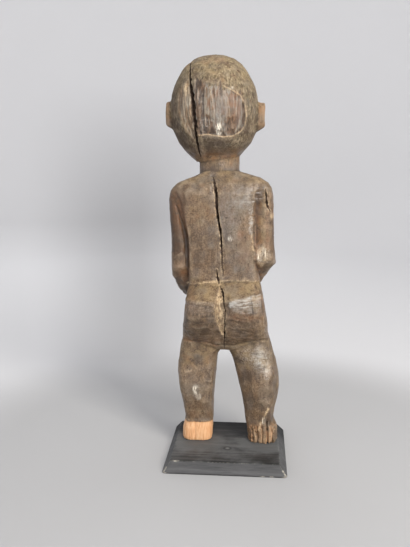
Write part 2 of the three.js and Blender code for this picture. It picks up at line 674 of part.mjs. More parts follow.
const part = new THREE.Group();
const plan = plinthPlan();
const carving = mesh('figure', figure(), carvedWood);
carving.position.set(-(plan.left + plan.right) / 2, -(plan.back + plan.front) / 2, PLINTH_HEIGHT);
part.add(carving);
part.add(mesh('plinth', plinth(), blackWood));

export default part;
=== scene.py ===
from types import SimpleNamespace

import bmesh
import bpy
import numpy as np
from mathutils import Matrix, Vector


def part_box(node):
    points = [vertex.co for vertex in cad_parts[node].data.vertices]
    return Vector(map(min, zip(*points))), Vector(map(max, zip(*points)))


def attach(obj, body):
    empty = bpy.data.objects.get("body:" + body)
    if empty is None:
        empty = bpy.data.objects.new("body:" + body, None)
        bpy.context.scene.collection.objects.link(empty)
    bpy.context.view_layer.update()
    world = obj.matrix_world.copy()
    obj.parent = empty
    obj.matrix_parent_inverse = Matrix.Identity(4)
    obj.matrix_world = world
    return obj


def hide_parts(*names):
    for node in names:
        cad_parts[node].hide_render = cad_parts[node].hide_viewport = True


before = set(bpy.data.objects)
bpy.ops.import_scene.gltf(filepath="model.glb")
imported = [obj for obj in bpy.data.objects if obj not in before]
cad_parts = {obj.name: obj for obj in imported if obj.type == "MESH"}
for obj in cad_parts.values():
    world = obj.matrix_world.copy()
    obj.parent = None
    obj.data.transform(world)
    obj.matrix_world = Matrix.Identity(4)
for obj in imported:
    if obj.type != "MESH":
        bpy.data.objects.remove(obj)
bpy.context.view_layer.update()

MM = 0.001

# Plinth: a planed softwood board, its four sides sawn to a bevel, then stained black with a brush.
# The stain is thin on its arrises, and bare wood shows where its corners are knocked.
PLINTH_MESH = 0.9 * MM
PLINTH_FACES = 60000
PLINTH_BEVEL = 7.4 * MM
ARRIS_WEAR = 0.5 * MM
BOARD_GRAIN = 1.1 * MM
BOARD_FIGURE = 9 * MM
BOARD_HAZE = 22 * MM
BARE_SPECKS = 2.2 * MM
HEELS = [(34 * MM, 0, 10.5 * MM), (-38 * MM, 0, 10.5 * MM)]
KNOT = (-1.2 * MM, 18.8 * MM, 10.5 * MM)

# Knocked places on the board's edges: across, behind and how far each reaches, in millimetres.
CHIPPED = [(47, 47.5, 6), (58.5, 57.5, 6), (-36.2, 58.3, 4), (-45, 58.3, 3), (-59, 56, 6)]


def linear(colour):
    """An sRGB hex colour as linear red, green, blue and alpha."""
    shares = [int(colour[i:i + 2], 16) / 255 for i in (1, 3, 5)]
    return [s / 12.92 if s <= 0.04045 else ((s + 0.055) / 1.055) ** 2.4 for s in shares] + [1]


def add(tree, kind, inputs=(), stops=(), **settings):
    """Adds a node with its settings, inputs in order or by name, and colour stops, and gives its outputs.

    An input that is a socket is linked. A map range takes its value, the two ends that it reads and the two
    that it gives. A mix takes its share as 0 and its sides as 2 and 3 for numbers, or 6 and 7 for colours.
    """
    node = tree.nodes.new(kind)
    for name, value in settings.items():
        setattr(node, name, value)
    for socket, value in inputs.items() if isinstance(inputs, dict) else enumerate(inputs):
        if isinstance(value, bpy.types.NodeSocket):
            tree.links.new(value, node.inputs[socket])
        else:
            node.inputs[socket].default_value = value
    for i, (place, colour) in enumerate(stops):
        stop = node.color_ramp.elements[i] if i < 2 else node.color_ramp.elements.new(place)
        stop.position = place
        stop.color = linear(colour)
    return node.outputs


def settle(piece):
    """Turns a piece with its modifiers into a plain mesh."""
    evaluated = piece.evaluated_get(bpy.context.evaluated_depsgraph_get())
    mesh = bpy.data.meshes.new_from_object(evaluated)
    piece.modifiers.clear()
    piece.data = mesh


def new_object(name, data):
    """An object in the scene for a mesh, a lamp or a camera."""
    thing = bpy.data.objects.new(name, data)
    bpy.context.scene.collection.objects.link(thing)
    return thing


def fine_copy(node, name, spacing, rounds):
    """A closed, evenly meshed copy of a CAD node, with its edges rubbed round."""
    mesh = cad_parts[node].data.copy()
    loose = bmesh.new()
    loose.from_mesh(mesh)
    bmesh.ops.remove_doubles(loose, verts=loose.verts, dist=1e-6)
    loose.to_mesh(mesh)
    loose.free()
    piece = new_object(name, mesh)
    even = piece.modifiers.new("even mesh", "REMESH")
    even.mode = "VOXEL"
    even.voxel_size = spacing
    even.use_smooth_shade = True
    rubbed = piece.modifiers.new("rubbed edges", "SMOOTH")
    rubbed.iterations = rounds
    settle(piece)
    return piece


def thin_out(piece, faces):
    """Brings a piece down to a number of triangles."""
    corners = len(piece.data.loops) - 2 * len(piece.data.polygons)
    if corners > faces:
        fewer = piece.modifiers.new("fewer faces", "DECIMATE")
        fewer.ratio = faces / corners
        settle(piece)
    piece.data.shade_smooth()


def read(mesh, name):
    """The points ("co") or the normals of a mesh as an array."""
    values = np.empty(3 * len(mesh.vertices), np.float32)
    source = mesh.vertices if name == "co" else mesh.vertex_normals
    source.foreach_get("co" if name == "co" else "vector", values)
    return values.reshape(-1, 3).astype(float)


def write(mesh, points):
    """Moves a mesh's points."""
    mesh.vertices.foreach_set("co", points.astype(np.float32).ravel())
    mesh.update()


def mark(mesh, name, values):
    """Keeps one value from 0 to 1 for each point, for the material to read."""
    layer = mesh.attributes.get(name) or mesh.attributes.new(name, "FLOAT", "POINT")
    layer.data.foreach_set("value", np.clip(values, 0, 1).astype(np.float32))


def fade(value, start, end):
    """Rises smoothly from 0 at start to 1 at end."""
    share = np.clip((value - start) / (end - start), 0, 1)
    return share * share * (3 - 2 * share)


def lumps(points, size, seed):
    """Smooth chance lumps between -1 and 1. Size is one length in metres or one for each axis."""
    table = np.random.default_rng(seed).uniform(-1, 1, (32, 32, 32))
    place = points / size
    cell = np.floor(place).astype(int)
    share = place - cell
    share = share * share * (3 - 2 * share)
    total = np.zeros(len(points))
    for corner in np.ndindex(2, 2, 2):
        weight = np.prod(np.where(corner, share, 1 - share), axis=1)
        i, j, k = ((cell + corner) % 32).T
        total += weight * table[i, j, k]
    return total


plinth_high = np.array(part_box("plinth")[1])


def arris(points):
    """How near each point of the board is to one of its edges, from 0 to 1."""
    sides = plinth_high[:2] - np.abs(points[:, :2])
    inset = sides.min(axis=1)
    level = points[:, 2]
    from_top = plinth_high[2] - level
    top_edge = fade(from_top, 1.6 * MM, 0.3 * MM) * fade(np.abs(inset - PLINTH_BEVEL), 1.8 * MM, 0)
    foot_edge = fade(level, 1.8 * MM, 0.2 * MM) * fade(inset, 2.5 * MM, 0)
    hip = fade(sides.max(axis=1) - inset, 2 * MM, 0.3 * MM) * fade(inset, PLINTH_BEVEL + MM, PLINTH_BEVEL)
    return np.clip(top_edge + foot_edge + hip, 0, 1) * fade(level, 0.1 * MM, 0.6 * MM)


plinth = fine_copy("plinth", "plinth_board", PLINTH_MESH, 1)
points = read(plinth.data, "co")
knocks = fade(lumps(points, 4 * MM, 3) + 0.5 * lumps(points, 1.5 * MM, 4), 0.25, 0.9)
stretches = fade(lumps(points, 16 * MM, 5), 0, 0.6)
chips = arris(points) * np.clip(0.2 + knocks * (0.4 + stretches), 0, 1)
write(plinth.data, points - read(plinth.data, "normal") * (ARRIS_WEAR * chips)[:, None])
thin_out(plinth, PLINTH_FACES)

points = read(plinth.data, "co")
rubbed = 0.58 * arris(points) * fade(points[:, 2], 1.5 * MM, 3 * MM)
for x, y, wide in np.array(CHIPPED) * MM:
    far = np.hypot(points[:, 0] - x, points[:, 1] - y)
    rubbed = np.maximum(rubbed, 2 * fade(far, wide, 0.4 * wide) * fade(arris(points), 0.05, 0.4))
mark(plinth.data, "rubbed", rubbed)


def new_material(name):
    """A material with an empty node tree, and that tree."""
    material = bpy.data.materials.new(name)
    material.use_nodes = True
    material.node_tree.nodes.clear()
    return material, material.node_tree


# The board was planed and brushed with a thin black stain, never varnished. To the eye it is near black and
# matt, with its grain showing, greyer on the bevels and dusty round the heels. Its far part beside the feet
# and the foot of its sides are darkened as painted shade. The growth rings are drawn 1.1 mm apart, coarser
# than they are, so that they show.
def black_stained_pine():
    """Pine under a thin black stain: near black, grey where light grazes the grain, matt with a faint wax."""
    material, tree = new_material("black_stained_pine")
    place = add(tree, "ShaderNodeTexCoord")["Object"]
    axes = add(tree, "ShaderNodeSeparateXYZ", [place])

    # The grain and the broader figure run along the board.
    along = add(tree, "ShaderNodeMapping", {"Vector": place, "Scale": (0.07, 1, 1)})[0]
    grain = add(tree, "ShaderNodeTexNoise", {"Vector": along, "Scale": 1 / BOARD_GRAIN, "Detail": 4,
                                             "Roughness": 0.65})["Fac"]
    figure = add(tree, "ShaderNodeTexNoise", {"Vector": along, "Scale": 1 / BOARD_FIGURE, "Detail": 2,
                                              "Distortion": 1.2})["Fac"]
    tone = add(tree, "ShaderNodeMix", {0: 0.55, 2: grain, 3: figure})[0]
    stain = add(tree, "ShaderNodeValToRGB", [tone],
                [(0.36, "#242424"), (0.5, "#333231"), (0.62, "#565453")])[0]
    grey_stain = add(tree, "ShaderNodeValToRGB", [tone], [(0.34, "#404041"), (0.6, "#5c5c5d")])[0]

    # A dusty haze lies behind the figure, most of all round its heels. The haze fades out on the board's far
    # part, as painted shade where the figure shades the board.
    haze = add(tree, "ShaderNodeTexNoise", {"Vector": place, "Scale": 1 / BOARD_HAZE, "Detail": 5,
                                            "Roughness": 0.6})["Fac"]
    hazes = [add(tree, "ShaderNodeMapRange", [axes["Y"], -24 * MM, -2 * MM, -0.4, 0.12])[0],
             add(tree, "ShaderNodeMapRange", [axes["Y"], 4 * MM, 18 * MM, 0, -0.12])[0]]
    for heel in HEELS:
        gap = add(tree, "ShaderNodeVectorMath", [place, heel], operation="DISTANCE")["Value"]
        hazes.append(add(tree, "ShaderNodeMapRange", [gap, 16 * MM, 34 * MM, 0.42, 0])[0])
    for share in hazes:
        haze = add(tree, "ShaderNodeMath", [haze, share], operation="ADD")[0]
    dusty = add(tree, "ShaderNodeMapRange", [haze, 0.45, 0.75, 0, 0.62])[0]

    # The knot is a dark ring round a paler heart.
    from_knot = add(tree, "ShaderNodeVectorMath", [place, KNOT], operation="DISTANCE")["Value"]
    inner = add(tree, "ShaderNodeMapRange", [from_knot, 2 * MM, 3 * MM, 0, 0.6])[0]
    outer = add(tree, "ShaderNodeMapRange", [from_knot, 3.8 * MM, 5 * MM, 1, 0])[0]
    ring = add(tree, "ShaderNodeMath", [inner, outer], operation="MULTIPLY")[0]
    heart = add(tree, "ShaderNodeMapRange", [from_knot, 1.2 * MM, 2.2 * MM, 0.45, 0])[0]

    # Bare wood shows in specks where the arrises are rubbed.
    rubbed = add(tree, "ShaderNodeAttribute", attribute_name="rubbed")["Fac"]
    speck = add(tree, "ShaderNodeTexNoise", {"Vector": place, "Scale": 1 / BARE_SPECKS, "Detail": 3})["Fac"]
    worn = add(tree, "ShaderNodeMath", [rubbed, speck], operation="MULTIPLY")[0]
    bare = add(tree, "ShaderNodeMapRange", [worn, 0.24, 0.6, 0, 0.85])[0]

    bevel = add(tree, "ShaderNodeMapRange", [axes["Z"], 9.6 * MM, 10.2 * MM, 1, 0])[0]
    # Painted shade: a near-black tint on the board's far part beside the feet, where the figure shades it.
    front = add(tree, "ShaderNodeMapRange", [axes["Y"], -32 * MM, -10 * MM, 0.8, 0])[0]
    # Painted shade: the foot of the board's sides is darkened, as a contact shadow.
    foot = add(tree, "ShaderNodeMapRange", [axes["Z"], 0.2 * MM, 1.5 * MM, 0.8, 0])[0]
    colour = stain
    for share, tint in ((dusty, linear("#6d6e6e")), (bevel, grey_stain), (front, linear("#262627")),
                        (ring, linear("#262524")), (heart, linear("#858480")), (foot, linear("#1a1a1a")),
                        (bare, linear("#a8a398"))):
        colour = add(tree, "ShaderNodeMix", {0: share, 6: colour, 7: tint}, data_type="RGBA")[2]
    dull = add(tree, "ShaderNodeMapRange", [haze, 0.2, 0.7, 0.5, 0.72])[0]
    dull = add(tree, "ShaderNodeMix", {0: front, 2: dull, 3: 0.9})[0]
    relief = add(tree, "ShaderNodeBump", {"Height": grain, "Distance": 0.12 * MM, "Strength": 0.8})[0]
    shader = add(tree, "ShaderNodeBsdfPrincipled", {"Base Color": colour, "Roughness": dull,
                                                    "Normal": relief, "Specular IOR Level": 0.2})
    add(tree, "ShaderNodeOutputMaterial", {"Surface": shader[0]})
    return material


plinth.data.materials.clear()
plinth.data.materials.append(black_stained_pine())
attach(plinth, "root")
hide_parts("plinth")

# Figure: one block of dense hardwood, roughed out and finished with an adze and a knife, then handled,
# oiled and smoked for years. It has split along the grain, the back of the head has flaked, one heel
# has been pared to bare wood and the other has rotted in upright furrows.
FIGURE_MESH = 0.7 * MM
FIGURE_FACES = 196000
MIDDLE_X = 0.5 * MM
NAPE_RISE = 3.3 * MM
TOOLING = {"Cut width": 11 * MM, "Cut length": 16 * MM, "Cut depth": 0.7 * MM,
           "Grain width": 1.3 * MM, "Grain length": 16 * MM, "Grain depth": 0.6 * MM, "Seed": 3.0}
FIBRE = 1.2 * MM
PORES = 1.5 * MM
KNIFE_MARKS = 1.6 * MM
BARK = 1.7 * MM
MOTTLE = 6 * MM
CLOUDS = 26 * MM

# How deep each part of the finer relief is cut, or how far it stands out, in millimetres.
FLAKES = 0.8
CRUMBS = 0.8
STROKES = 0.35
RIDGE_RISE = 0.8
FOLD_DEPTH = 0.5
ARM_GROOVES = (2.6, 1.6)
ELBOW_RISE = 0.5
LIPS = 0.9
LIDS = 0.5
FINGER_GAPS = 0.9
TOE_GAPS = 2.4
FURROWS = 1.9
PARING = 0.5
HEEL_CUT = 0.7
UNEVENNESS = 0.3
SUNK_SPLITS = 1.6

figure_low, figure_high = (np.array(corner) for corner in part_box("figure"))
UNIT = (figure_high[2] - figure_low[2]) / 1000

# Heights and places across, in thousandths of the figure's height.
HEAD_FOOT = 770
NECK = 747
EARS = 852
EYES = 860
EYE_FROM_NOSE = 41
MOUTH = 793
MIDDLE_OF_HEAD = 36
RIGHT_ELBOW = (-98, 502)
HEEL_CUT_X = 86
RING_MARK = (60, 623)
RING_RADIUS = 15

# The first and last place across of each hand's fingers with their height, and each foot's left and right.
FINGERS = [(21, 55, 415), (-31, 3, 426)]
FEET = [(122, 40), (-58, -136)]

# Lines and patches on the figure's back, as (across, height).
HEAD_SPLIT = [(94, 980), (92, 962), (90, 930), (85, 898), (82, 867), (79, 834), (76, 800), (71, 767),
              (67, 752)]
BACK_SPLIT = [(36, 702), (31, 680), (27, 655), (26, 625), (24, 603), (19, 577), (16, 556), (14, 520),
              (13, 490), (10, 452)]
SHORT_SPLIT = [(27, 470), (25, 450), (20, 432)]
RUMP_SPLIT = [(18, 430), (11, 415), (7, 402), (5, 380), (3, 372), (4, 340), (5, 310), (7, 284), (7, 262)]
SHOULDER_SPLIT = [(-94, 674), (-96, 650), (-99, 630), (-107, 618)]
FLAKED_PATCH = [(61, 926), (10, 917), (-14, 906), (-31, 896), (-42, 872), (-45, 850), (-42, 830), (-33, 813),
                (-14, 802), (8, 799), (49, 805), (68, 803), (79, 834), (82, 867), (85, 898), (78, 922)]
PATCH_RIM = FLAKED_PATCH[1:12]
WORN_LENS = [(93, 936), (112, 914), (120, 898), (120, 869), (110, 840), (98, 814), (80, 794), (80, 834),
             (84, 867), (88, 898)]
TORN_SLIVER = [(19, 424), (24, 404), (29, 384), (28, 356), (20, 328), (11, 302), (5, 316), (3, 372), (9, 404)]
LEFT_GROOVE = [(130, 669), (117, 632), (110, 594), (103, 556), (103, 505), (102, 445)]
RIGHT_GROOVE = [(-74, 670), (-72, 632), (-70, 583), (-71, 545), (-74, 494), (-77, 453), (-85, 426)]
WAIST_LINE = [(106, 430), (70, 434), (32, 438), (-6, 442), (-44, 442), (-80, 440)]
RUMP_RIDGE = [(102, 392), (54, 389), (29, 388), (-20, 398), (-58, 404), (-88, 400)]
THIGH_FOLD = [(115, 279), (84, 278), (53, 278), (29, 268), (-17, 268), (-43, 275), (-71, 283), (-100, 283)]
KNEE_NICK = [(128, 191), (94, 195)]
SHIN_CHIP = [(-110, 96), (-103, 82), (-95, 64), (-84, 37)]
RIGHT_FACET = [(-7, 394), (-28, 400), (-53, 406), (-86, 412), (-88, 366), (-53, 363), (-25, 366), (-8, 378)]
LEFT_FACET = [(100, 386), (60, 384), (36, 382), (38, 358), (70, 354), (98, 360)]
FINE_CRACKS = [[(-61, 411), (-63, 395), (-66, 374), (-67, 354)], [(60, 384), (48, 378), (33, 380)],
               [(100, 362), (70, 352), (40, 358)], [(104, 345), (84, 336), (58, 340)],
               [(5, 312), (6, 290), (7, 262)]]

# Each split with the width it was cut to, the width it gapes and how far down it gapes most.
SPLITS = [(HEAD_SPLIT, 7.5, 6.2, 0.45), (BACK_SPLIT, 6, 6.8, 0.08), (SHORT_SPLIT, 5, 5.5, 0.75),
          (RUMP_SPLIT, 7, 3.2, 0.1), (SHOULDER_SPLIT, 5, 4, 0.5)]

# Oval spots as (across, height, half width, half height, strength).
# Polished spots: glossier, and lightened in colour as painted highlights.
POLISH_AND_HIGHLIGHTS = [(-8, 550, 8, 8, 0.8), (-89, 507, 19, 27, 0.8), (80, 140, 14, 22, 0.4), (54, 824, 12, 24, 0.9),
            (62, 880, 9, 30, 0.6), (-106, 203, 15, 26, 0.8), (-68, 242, 40, 34, 0.7), (16, 734, 9, 7, 0.6),
            (22, 815, 5, 12, 0.8), (26, 840, 14, 50, 0.4), (60, 386, 36, 9, 0.4), (-20, 600, 40, 60, 0.25)]
# Painted sheen on the right shoulder blade, the right knee and the right calf.
SHEEN = [(-66, 655, 22, 22, 1.0), (-59, 605, 6, 64, 0.8), (-34, 640, 28, 8, 0.5), (-90, 232, 26, 34, 1.0),
         (-105, 205, 11, 28, 0.6)]
# Painted highlights: near-white glints.
GLINTS = [(20, 817, 7, 13, 1.9), (-92, 512, 6, 13, 1.8), (-82, 500, 6, 12, 1.0), (83, 145, 9, 12, 1.0),
          (75, 127, 8, 11, 0.7), (-104, 206, 8, 18, 0.3), (-7, 550, 5, 6, 0.9), (-98, 62, 5, 10, 0.7),
          (92, 880, 8, 12, 0.3), (-9, 912, 6, 5, 0.5)]
# Pale spots of wood rubbed bare; those on the right elbow and the left calf are painted highlights.
BARE_AND_HIGHLIGHT_SPOTS = [(-87, 504, 16, 24, 0.9), (-113, 606, 7, 8, 0.8), (76, 138, 11, 15, 0.3),
               (98, 914, 9, 18, 0.4), (-84, 488, 10, 14, 0.8)]
DUSTED = [(77, 441, 26, 9, 1)]
# Dark spots: stains, and painted shade on the head's left side, the left arm, the inner right calf and the
# crotch.
STAINS_AND_SHADE = [(128, 860, 16, 80, 0.9), (100, 785, 30, 40, 0.9), (20, 775, 80, 22, 0.5), (130, 560, 20, 130, 0.8),
           (113, 483, 9, 11, 0.9), (76, 227, 12, 12, 0.5), (-120, 150, 14, 50, 0.6), (-50, 140, 14, 50, 0.4),
           (52, 772, 8, 22, 0.5), (-42, 830, 10, 50, 0.4), (96, 90, 24, 26, 0.3), (-112, 570, 9, 80, 0.8),
           (77, 142, 22, 26, 0.5), (118, 500, 18, 60, 0.5), (36, 786, 44, 10, 0.3), (4, 290, 11, 20, 1.7),
           (16, 320, 8, 13, 1.6), (-5, 384, 5, 26, 1.1), (-52, 174, 16, 34, 0.9), (-98, 678, 16, 12, 0.9),
           (-109, 62, 10, 24, 1.0), (76, 914, 9, 12, 1.2), (3, 562, 7, 34, 0.5), (-10, 858, 8, 12, 0.7),
           (50, 172, 12, 24, 0.6), (92, 574, 8, 40, 0.6)]
# Grey spots: smoke, with a painted grey sheen on the back's right side.
SMOKE_AND_SHEEN_SPOTS = [(-2, 600, 30, 80, 0.8), (-30, 500, 34, 60, 0.5), (76, 227, 14, 14, 0.9), (-30, 645, 34, 40, 0.9),
          (14, 850, 14, 60, 0.9), (-100, 130, 20, 40, 0.4), (95, 160, 30, 50, 0.3), (-28, 850, 10, 40, 0.6)]
RUSTY = [(-34, 565, 10, 9, 1.0), (-107, 590, 12, 70, 0.6), (96, 395, 20, 40, 0.7), (-90, 380, 10, 40, 0.6),
         (-22, 862, 9, 40, 0.9), (110, 480, 12, 50, 0.8), (-46, 354, 46, 14, 0.8), (70, 284, 50, 8, 0.6),
         (30, 755, 60, 8, 0.8)]


def carving_place(points):
    """Places in thousandths of the figure's height: x to its own left, y behind it, z above the soles."""
    return (points - np.array([MIDDLE_X, 0, figure_low[2]])) / UNIT


def reach(flat, line):
    """Distance of each flat point from a broken line, and how far along the line it is, from 0 to 1."""
    best = np.full(len(flat), np.inf)
    where = np.zeros(len(flat))
    for i, (start, end) in enumerate(zip(line[:-1], line[1:])):
        start = np.array(start, float)
        way = np.array(end, float) - start
        share = np.clip((flat - start) @ way / (way @ way), 0, 1)
        gap = np.linalg.norm(flat - start - share[:, None] * way, axis=1)
        where = np.where(gap < best, (i + share) / (len(line) - 1), where)
        best = np.minimum(best, gap)
    return best, where


def within(flat, outline, soft):
    """1 inside an outline, 0 outside it, with a soft edge."""
    ring = list(outline) + [outline[0]]
    inside = np.zeros(len(flat), bool)
    for (x0, z0), (x1, z1) in zip(ring[:-1], ring[1:]):
        crosses = (z0 > flat[:, 1]) != (z1 > flat[:, 1])
        at = x0 + (flat[:, 1] - z0) * (x1 - x0) / (z1 - z0 + 1e-9)
        inside ^= crosses & (flat[:, 0] < at)
    gap = reach(flat, ring)[0]
    return fade(np.where(inside, gap, -gap), -soft, soft)


def spots(flat, ovals):
    """How far each flat point lies within the nearest of some soft oval spots."""
    most = np.zeros(len(flat))
    for x, z, wide, high, strength in ovals:
        far = np.hypot((flat[:, 0] - x) / wide, (flat[:, 1] - z) / high)
        most = np.maximum(most, strength * fade(far, 1.3, 0.5))
    return most


def beside(flat, line):
    """How far each flat point lies to the figure's left of a line that runs downwards."""
    across, heights = np.array(line, float).T
    return flat[:, 0] - np.interp(-flat[:, 1], -heights, across)


def above(flat, line):
    """How far each flat point lies above a line that runs to the figure's right."""
    across, heights = np.array(line, float).T
    return flat[:, 1] - np.interp(-flat[:, 0], -across, heights)


def teeth(points):
    """How far splinters reach into the splits, as a share of their width."""
    return 0.4 * lumps(points, 2 * MM, 31) + 0.12 * lumps(points, 5 * MM, 32)


def gaping(splinters, down, gape, widest):
    """Half the width of a split, ragged with splinters and tapering towards both its ends."""
    taper = np.minimum(down / widest, (1 - down) / (1 - widest))
    return 0.5 * gape * (0.3 + 0.7 * np.clip(1.1 * taper, 0, 1)) * np.clip(1 + splinters, 0.5, 1.5)


def split_edge(points, place):
    """How far each point lies outside the edge of the nearest split, for points on the figure's back."""
    flat = place[:, [0, 2]]
    splinters = teeth(points)
    nearest = np.full(len(points), 99.0)
    for line, _, gape, widest in SPLITS:
        gap, down = reach(flat, line)
        nearest = np.minimum(nearest, gap - gaping(splinters, down, gape, widest))
    return np.where(place[:, 1] > -20, nearest, 99)


def set_gapes(points, place):
    """Moves the lips of each split from the width that it was cut to, to the width that it really gapes."""
    flat = place[:, [0, 2]]
    splinters = teeth(points)
    for line, cut, gape, widest in SPLITS:
        gap, down = reach(flat, line)
        lip = 0.5 * cut * (0.3 + 0.7 * np.sin(np.pi * down))
        shift = gaping(splinters, down, gape, widest) - lip
        shift = np.where(shift > 0, shift * fade(gap, 0, 0.5 * lip), np.maximum(shift, -gap))
        shift = shift * fade(gap, lip + 8, lip + 1) * (place[:, 1] > -20)
        points[:, 0] += np.sign(beside(flat, line)) * shift * UNIT


def hairlines(points, size, lean, seed, thick):
    """Fine wavy lines that lean across the wood, from 0 to 1."""
    leaning = points + np.outer(lean * points[:, 0], (0, 0, 1))
    return fade(np.abs(lumps(leaning, np.array(size) * MM, seed)), thick, 0)


def strips(points):
    """Upright strips in which wood flakes away or rots, from -1 to 1."""
    wide = lumps(points, np.array([8, 8, 40]) * MM, 28)
    middling = lumps(points, np.array([3.4, 3.4, 20]) * MM, 23)
    narrow = lumps(points, np.array([1.4, 1.4, 9]) * MM, 24)
    return np.clip(0.6 * wide + 0.7 * middling + 0.85 * narrow, -1, 1)


def strokes(points):
    """Slanting knife strokes across the underside of the rump, from -1 to 1."""
    leaning = points + np.outer(0.25 * np.abs(points[:, 0]), (0, 0, 1))
    return np.clip(0.8 * lumps(leaning, np.array([12, 12, 2.4]) * MM, 33)
                   + 0.7 * lumps(leaning, np.array([5, 5, 1.2]) * MM, 34), -1, 1)


def survey(points, normals):
    """What wear follows at each point: its place and facing, chance lumps, and the forms that it lies on."""
    place = carving_place(points)
    flat = place[:, [0, 2]]
    x, y, z = place.T
    behind = fade(normals[:, 1], -0.1, 0.3)
    ragged = lumps(points, 5 * MM, 11)
    fine = lumps(points, 2 * MM, 12)
    strip = strips(points)
    flakes = flat + np.outer(12 * strip * fade(z, 850, 900), (0, 1))
    patch = within(flakes, FLAKED_PATCH, 5) * behind * (z > HEAD_FOOT)
    lens = within(flat, WORN_LENS, 4) * behind * (z > HEAD_FOOT)
    groove = fade(np.abs(beside(flat, LEFT_GROOVE) - 4 + 2 * ragged), 13, 6)
    pared = fade(z + 1.5 * ragged + fine, 54, 51) * (x > 20) * fade(y, -64, -50)
    rotten = fade(z + 6 * ragged, 60, 42) * (x < -40) * fade(y, -60, -10)
    open_strips = rotten * fade(z, 56, 38)
    return SimpleNamespace(
        points=points, flat=flat, x=x, y=y, z=z, upward=normals[:, 2], behind=behind,
        ragged=ragged, fine=fine, broad=lumps(points, 14 * MM, 15),
        strip=strip, splinter=strips(2.2 * points),
        edge=split_edge(points, place), over_ridge=above(flat, RUMP_RIDGE) + ragged,
        patch=patch, lens=lens, flaked=np.maximum(patch, lens),
        crown=fade(z + 14 * ragged, 890, 925) * (1 - patch),
        torn=fade(within(flat, TORN_SLIVER, 5) + 0.25 * fine, 0.3, 0.5) * behind,
        left_groove=groove * fade(z, 425, 450) * fade(z, 690, 650),
        # The upper left arm, which faces away from the key light and is darkened as painted shade.
        left_arm=fade(x, 98, 112) * fade(z, 400, 440) * fade(z, 690, 640) * behind,
        fold=fade(reach(flat, THIGH_FOLD)[0] + 3 * ragged + fine, 7, 2) * fade(fine + ragged, -0.8, 0),
        neck=fade(np.abs(z - NECK + 3 * ragged), 13, 6) * (np.abs(x - 23) < 60),
        ears=fade(np.abs(x - MIDDLE_OF_HEAD), 108, 113) * fade(np.abs(z - EARS), 45, 35),
        rotten=rotten, open_strips=open_strips,
        bare=pared + 0.3 * open_strips * fade(strips(1.7 * points), 0.1, 0.5))


def broken_wood(skin):
    """Pale wood on the lips of the splits, splinters, chips and rubbed corners; painted highlights on the
    right elbow, the left calf and, in part, the patch's rim.
    """
    flat, z, behind, ragged, fine = skin.flat, skin.z, skin.behind, skin.ragged, skin.fine
    rim = fade(reach(flat, PATCH_RIM)[0] + 0.7 * fine, 2.2, 0.6) * behind
    rim = rim * fade(ragged, -0.9, -0.2) * (z > HEAD_FOOT)
    lips = fade(skin.edge, 4, 1.2) * fade(skin.edge, 0, 0.8) * (z < 690) * fade(fine + ragged, -0.5, 0.3)
    lips = lips * np.where(beside(flat, BACK_SPLIT) > 0, 1, 0.6)
    waist = fade(reach(flat, WAIST_LINE)[0] + 1.2 * ragged, 3.4, 1) * fade(fine + skin.broad, -0.8, 0.2)
    waist = waist * behind * (0.6 + 0.25 * (skin.x > 25))
    nick = fade(reach(flat, KNEE_NICK)[0] + fine, 2.6, 0.6) * behind
    shin = fade(reach(flat, SHIN_CHIP)[0] + 2 * ragged + 1.5 * fine, 3, 0.8) * behind
    panel = fade(np.abs(beside(flat, RIGHT_GROOVE) - 9 + 2 * fine), 4, 1) * fade(np.abs(z - 520), 60, 30)
    panel = panel * fade(ragged + fine, -0.1, 0.5) * behind
    # Rubbed bare wood, with painted highlights on the right elbow and the left calf.
    rubbed = spots(flat, BARE_AND_HIGHLIGHT_SPOTS) * behind * fade(ragged + 0.6 * fine, -0.5, 0.4)
    splinters = skin.torn * (0.38 + 0.6 * fade(skin.splinter, -0.4, 0.6))
    heel = skin.open_strips * fade(skin.strip, 0, 0.5)
    return (splinters + 0.6 * rim + 0.85 * lips + waist + 0.5 * nick + 0.9 * shin + 0.2 * skin.lens
            + 0.65 * panel + rubbed + 0.3 * heel)


def red_dirt(skin):
    """Red-brown earth in the grooves, folds and neck, on the ears and left arm, and in the rotten heel."""
    z, behind = skin.z, skin.behind
    right_groove = fade(np.abs(beside(skin.flat, RIGHT_GROOVE) + 5 + 2 * skin.ragged), 12, 4)
    right_groove = right_groove * fade(z, 430, 450) * fade(z, 680, 650)
    rust = (0.8 * skin.left_groove + 0.6 * right_groove + 0.7 * skin.fold * (skin.x > 20)) * behind
    rust = rust + 0.3 * skin.neck + 0.9 * skin.ears + 0.75 * skin.left_arm
    rust = rust + 0.7 * spots(skin.flat, RUSTY) * behind
    rust = rust + (0.45 + 0.55 * fade(skin.strip, -0.2, 0.5)) * skin.rotten
    rust = rust + 0.6 * skin.torn * fade(skin.splinter, 0.4, -0.4)
    return rust + 0.45 * fade(skin.broad + 0.5 * skin.ragged, 0.3, 0.9)


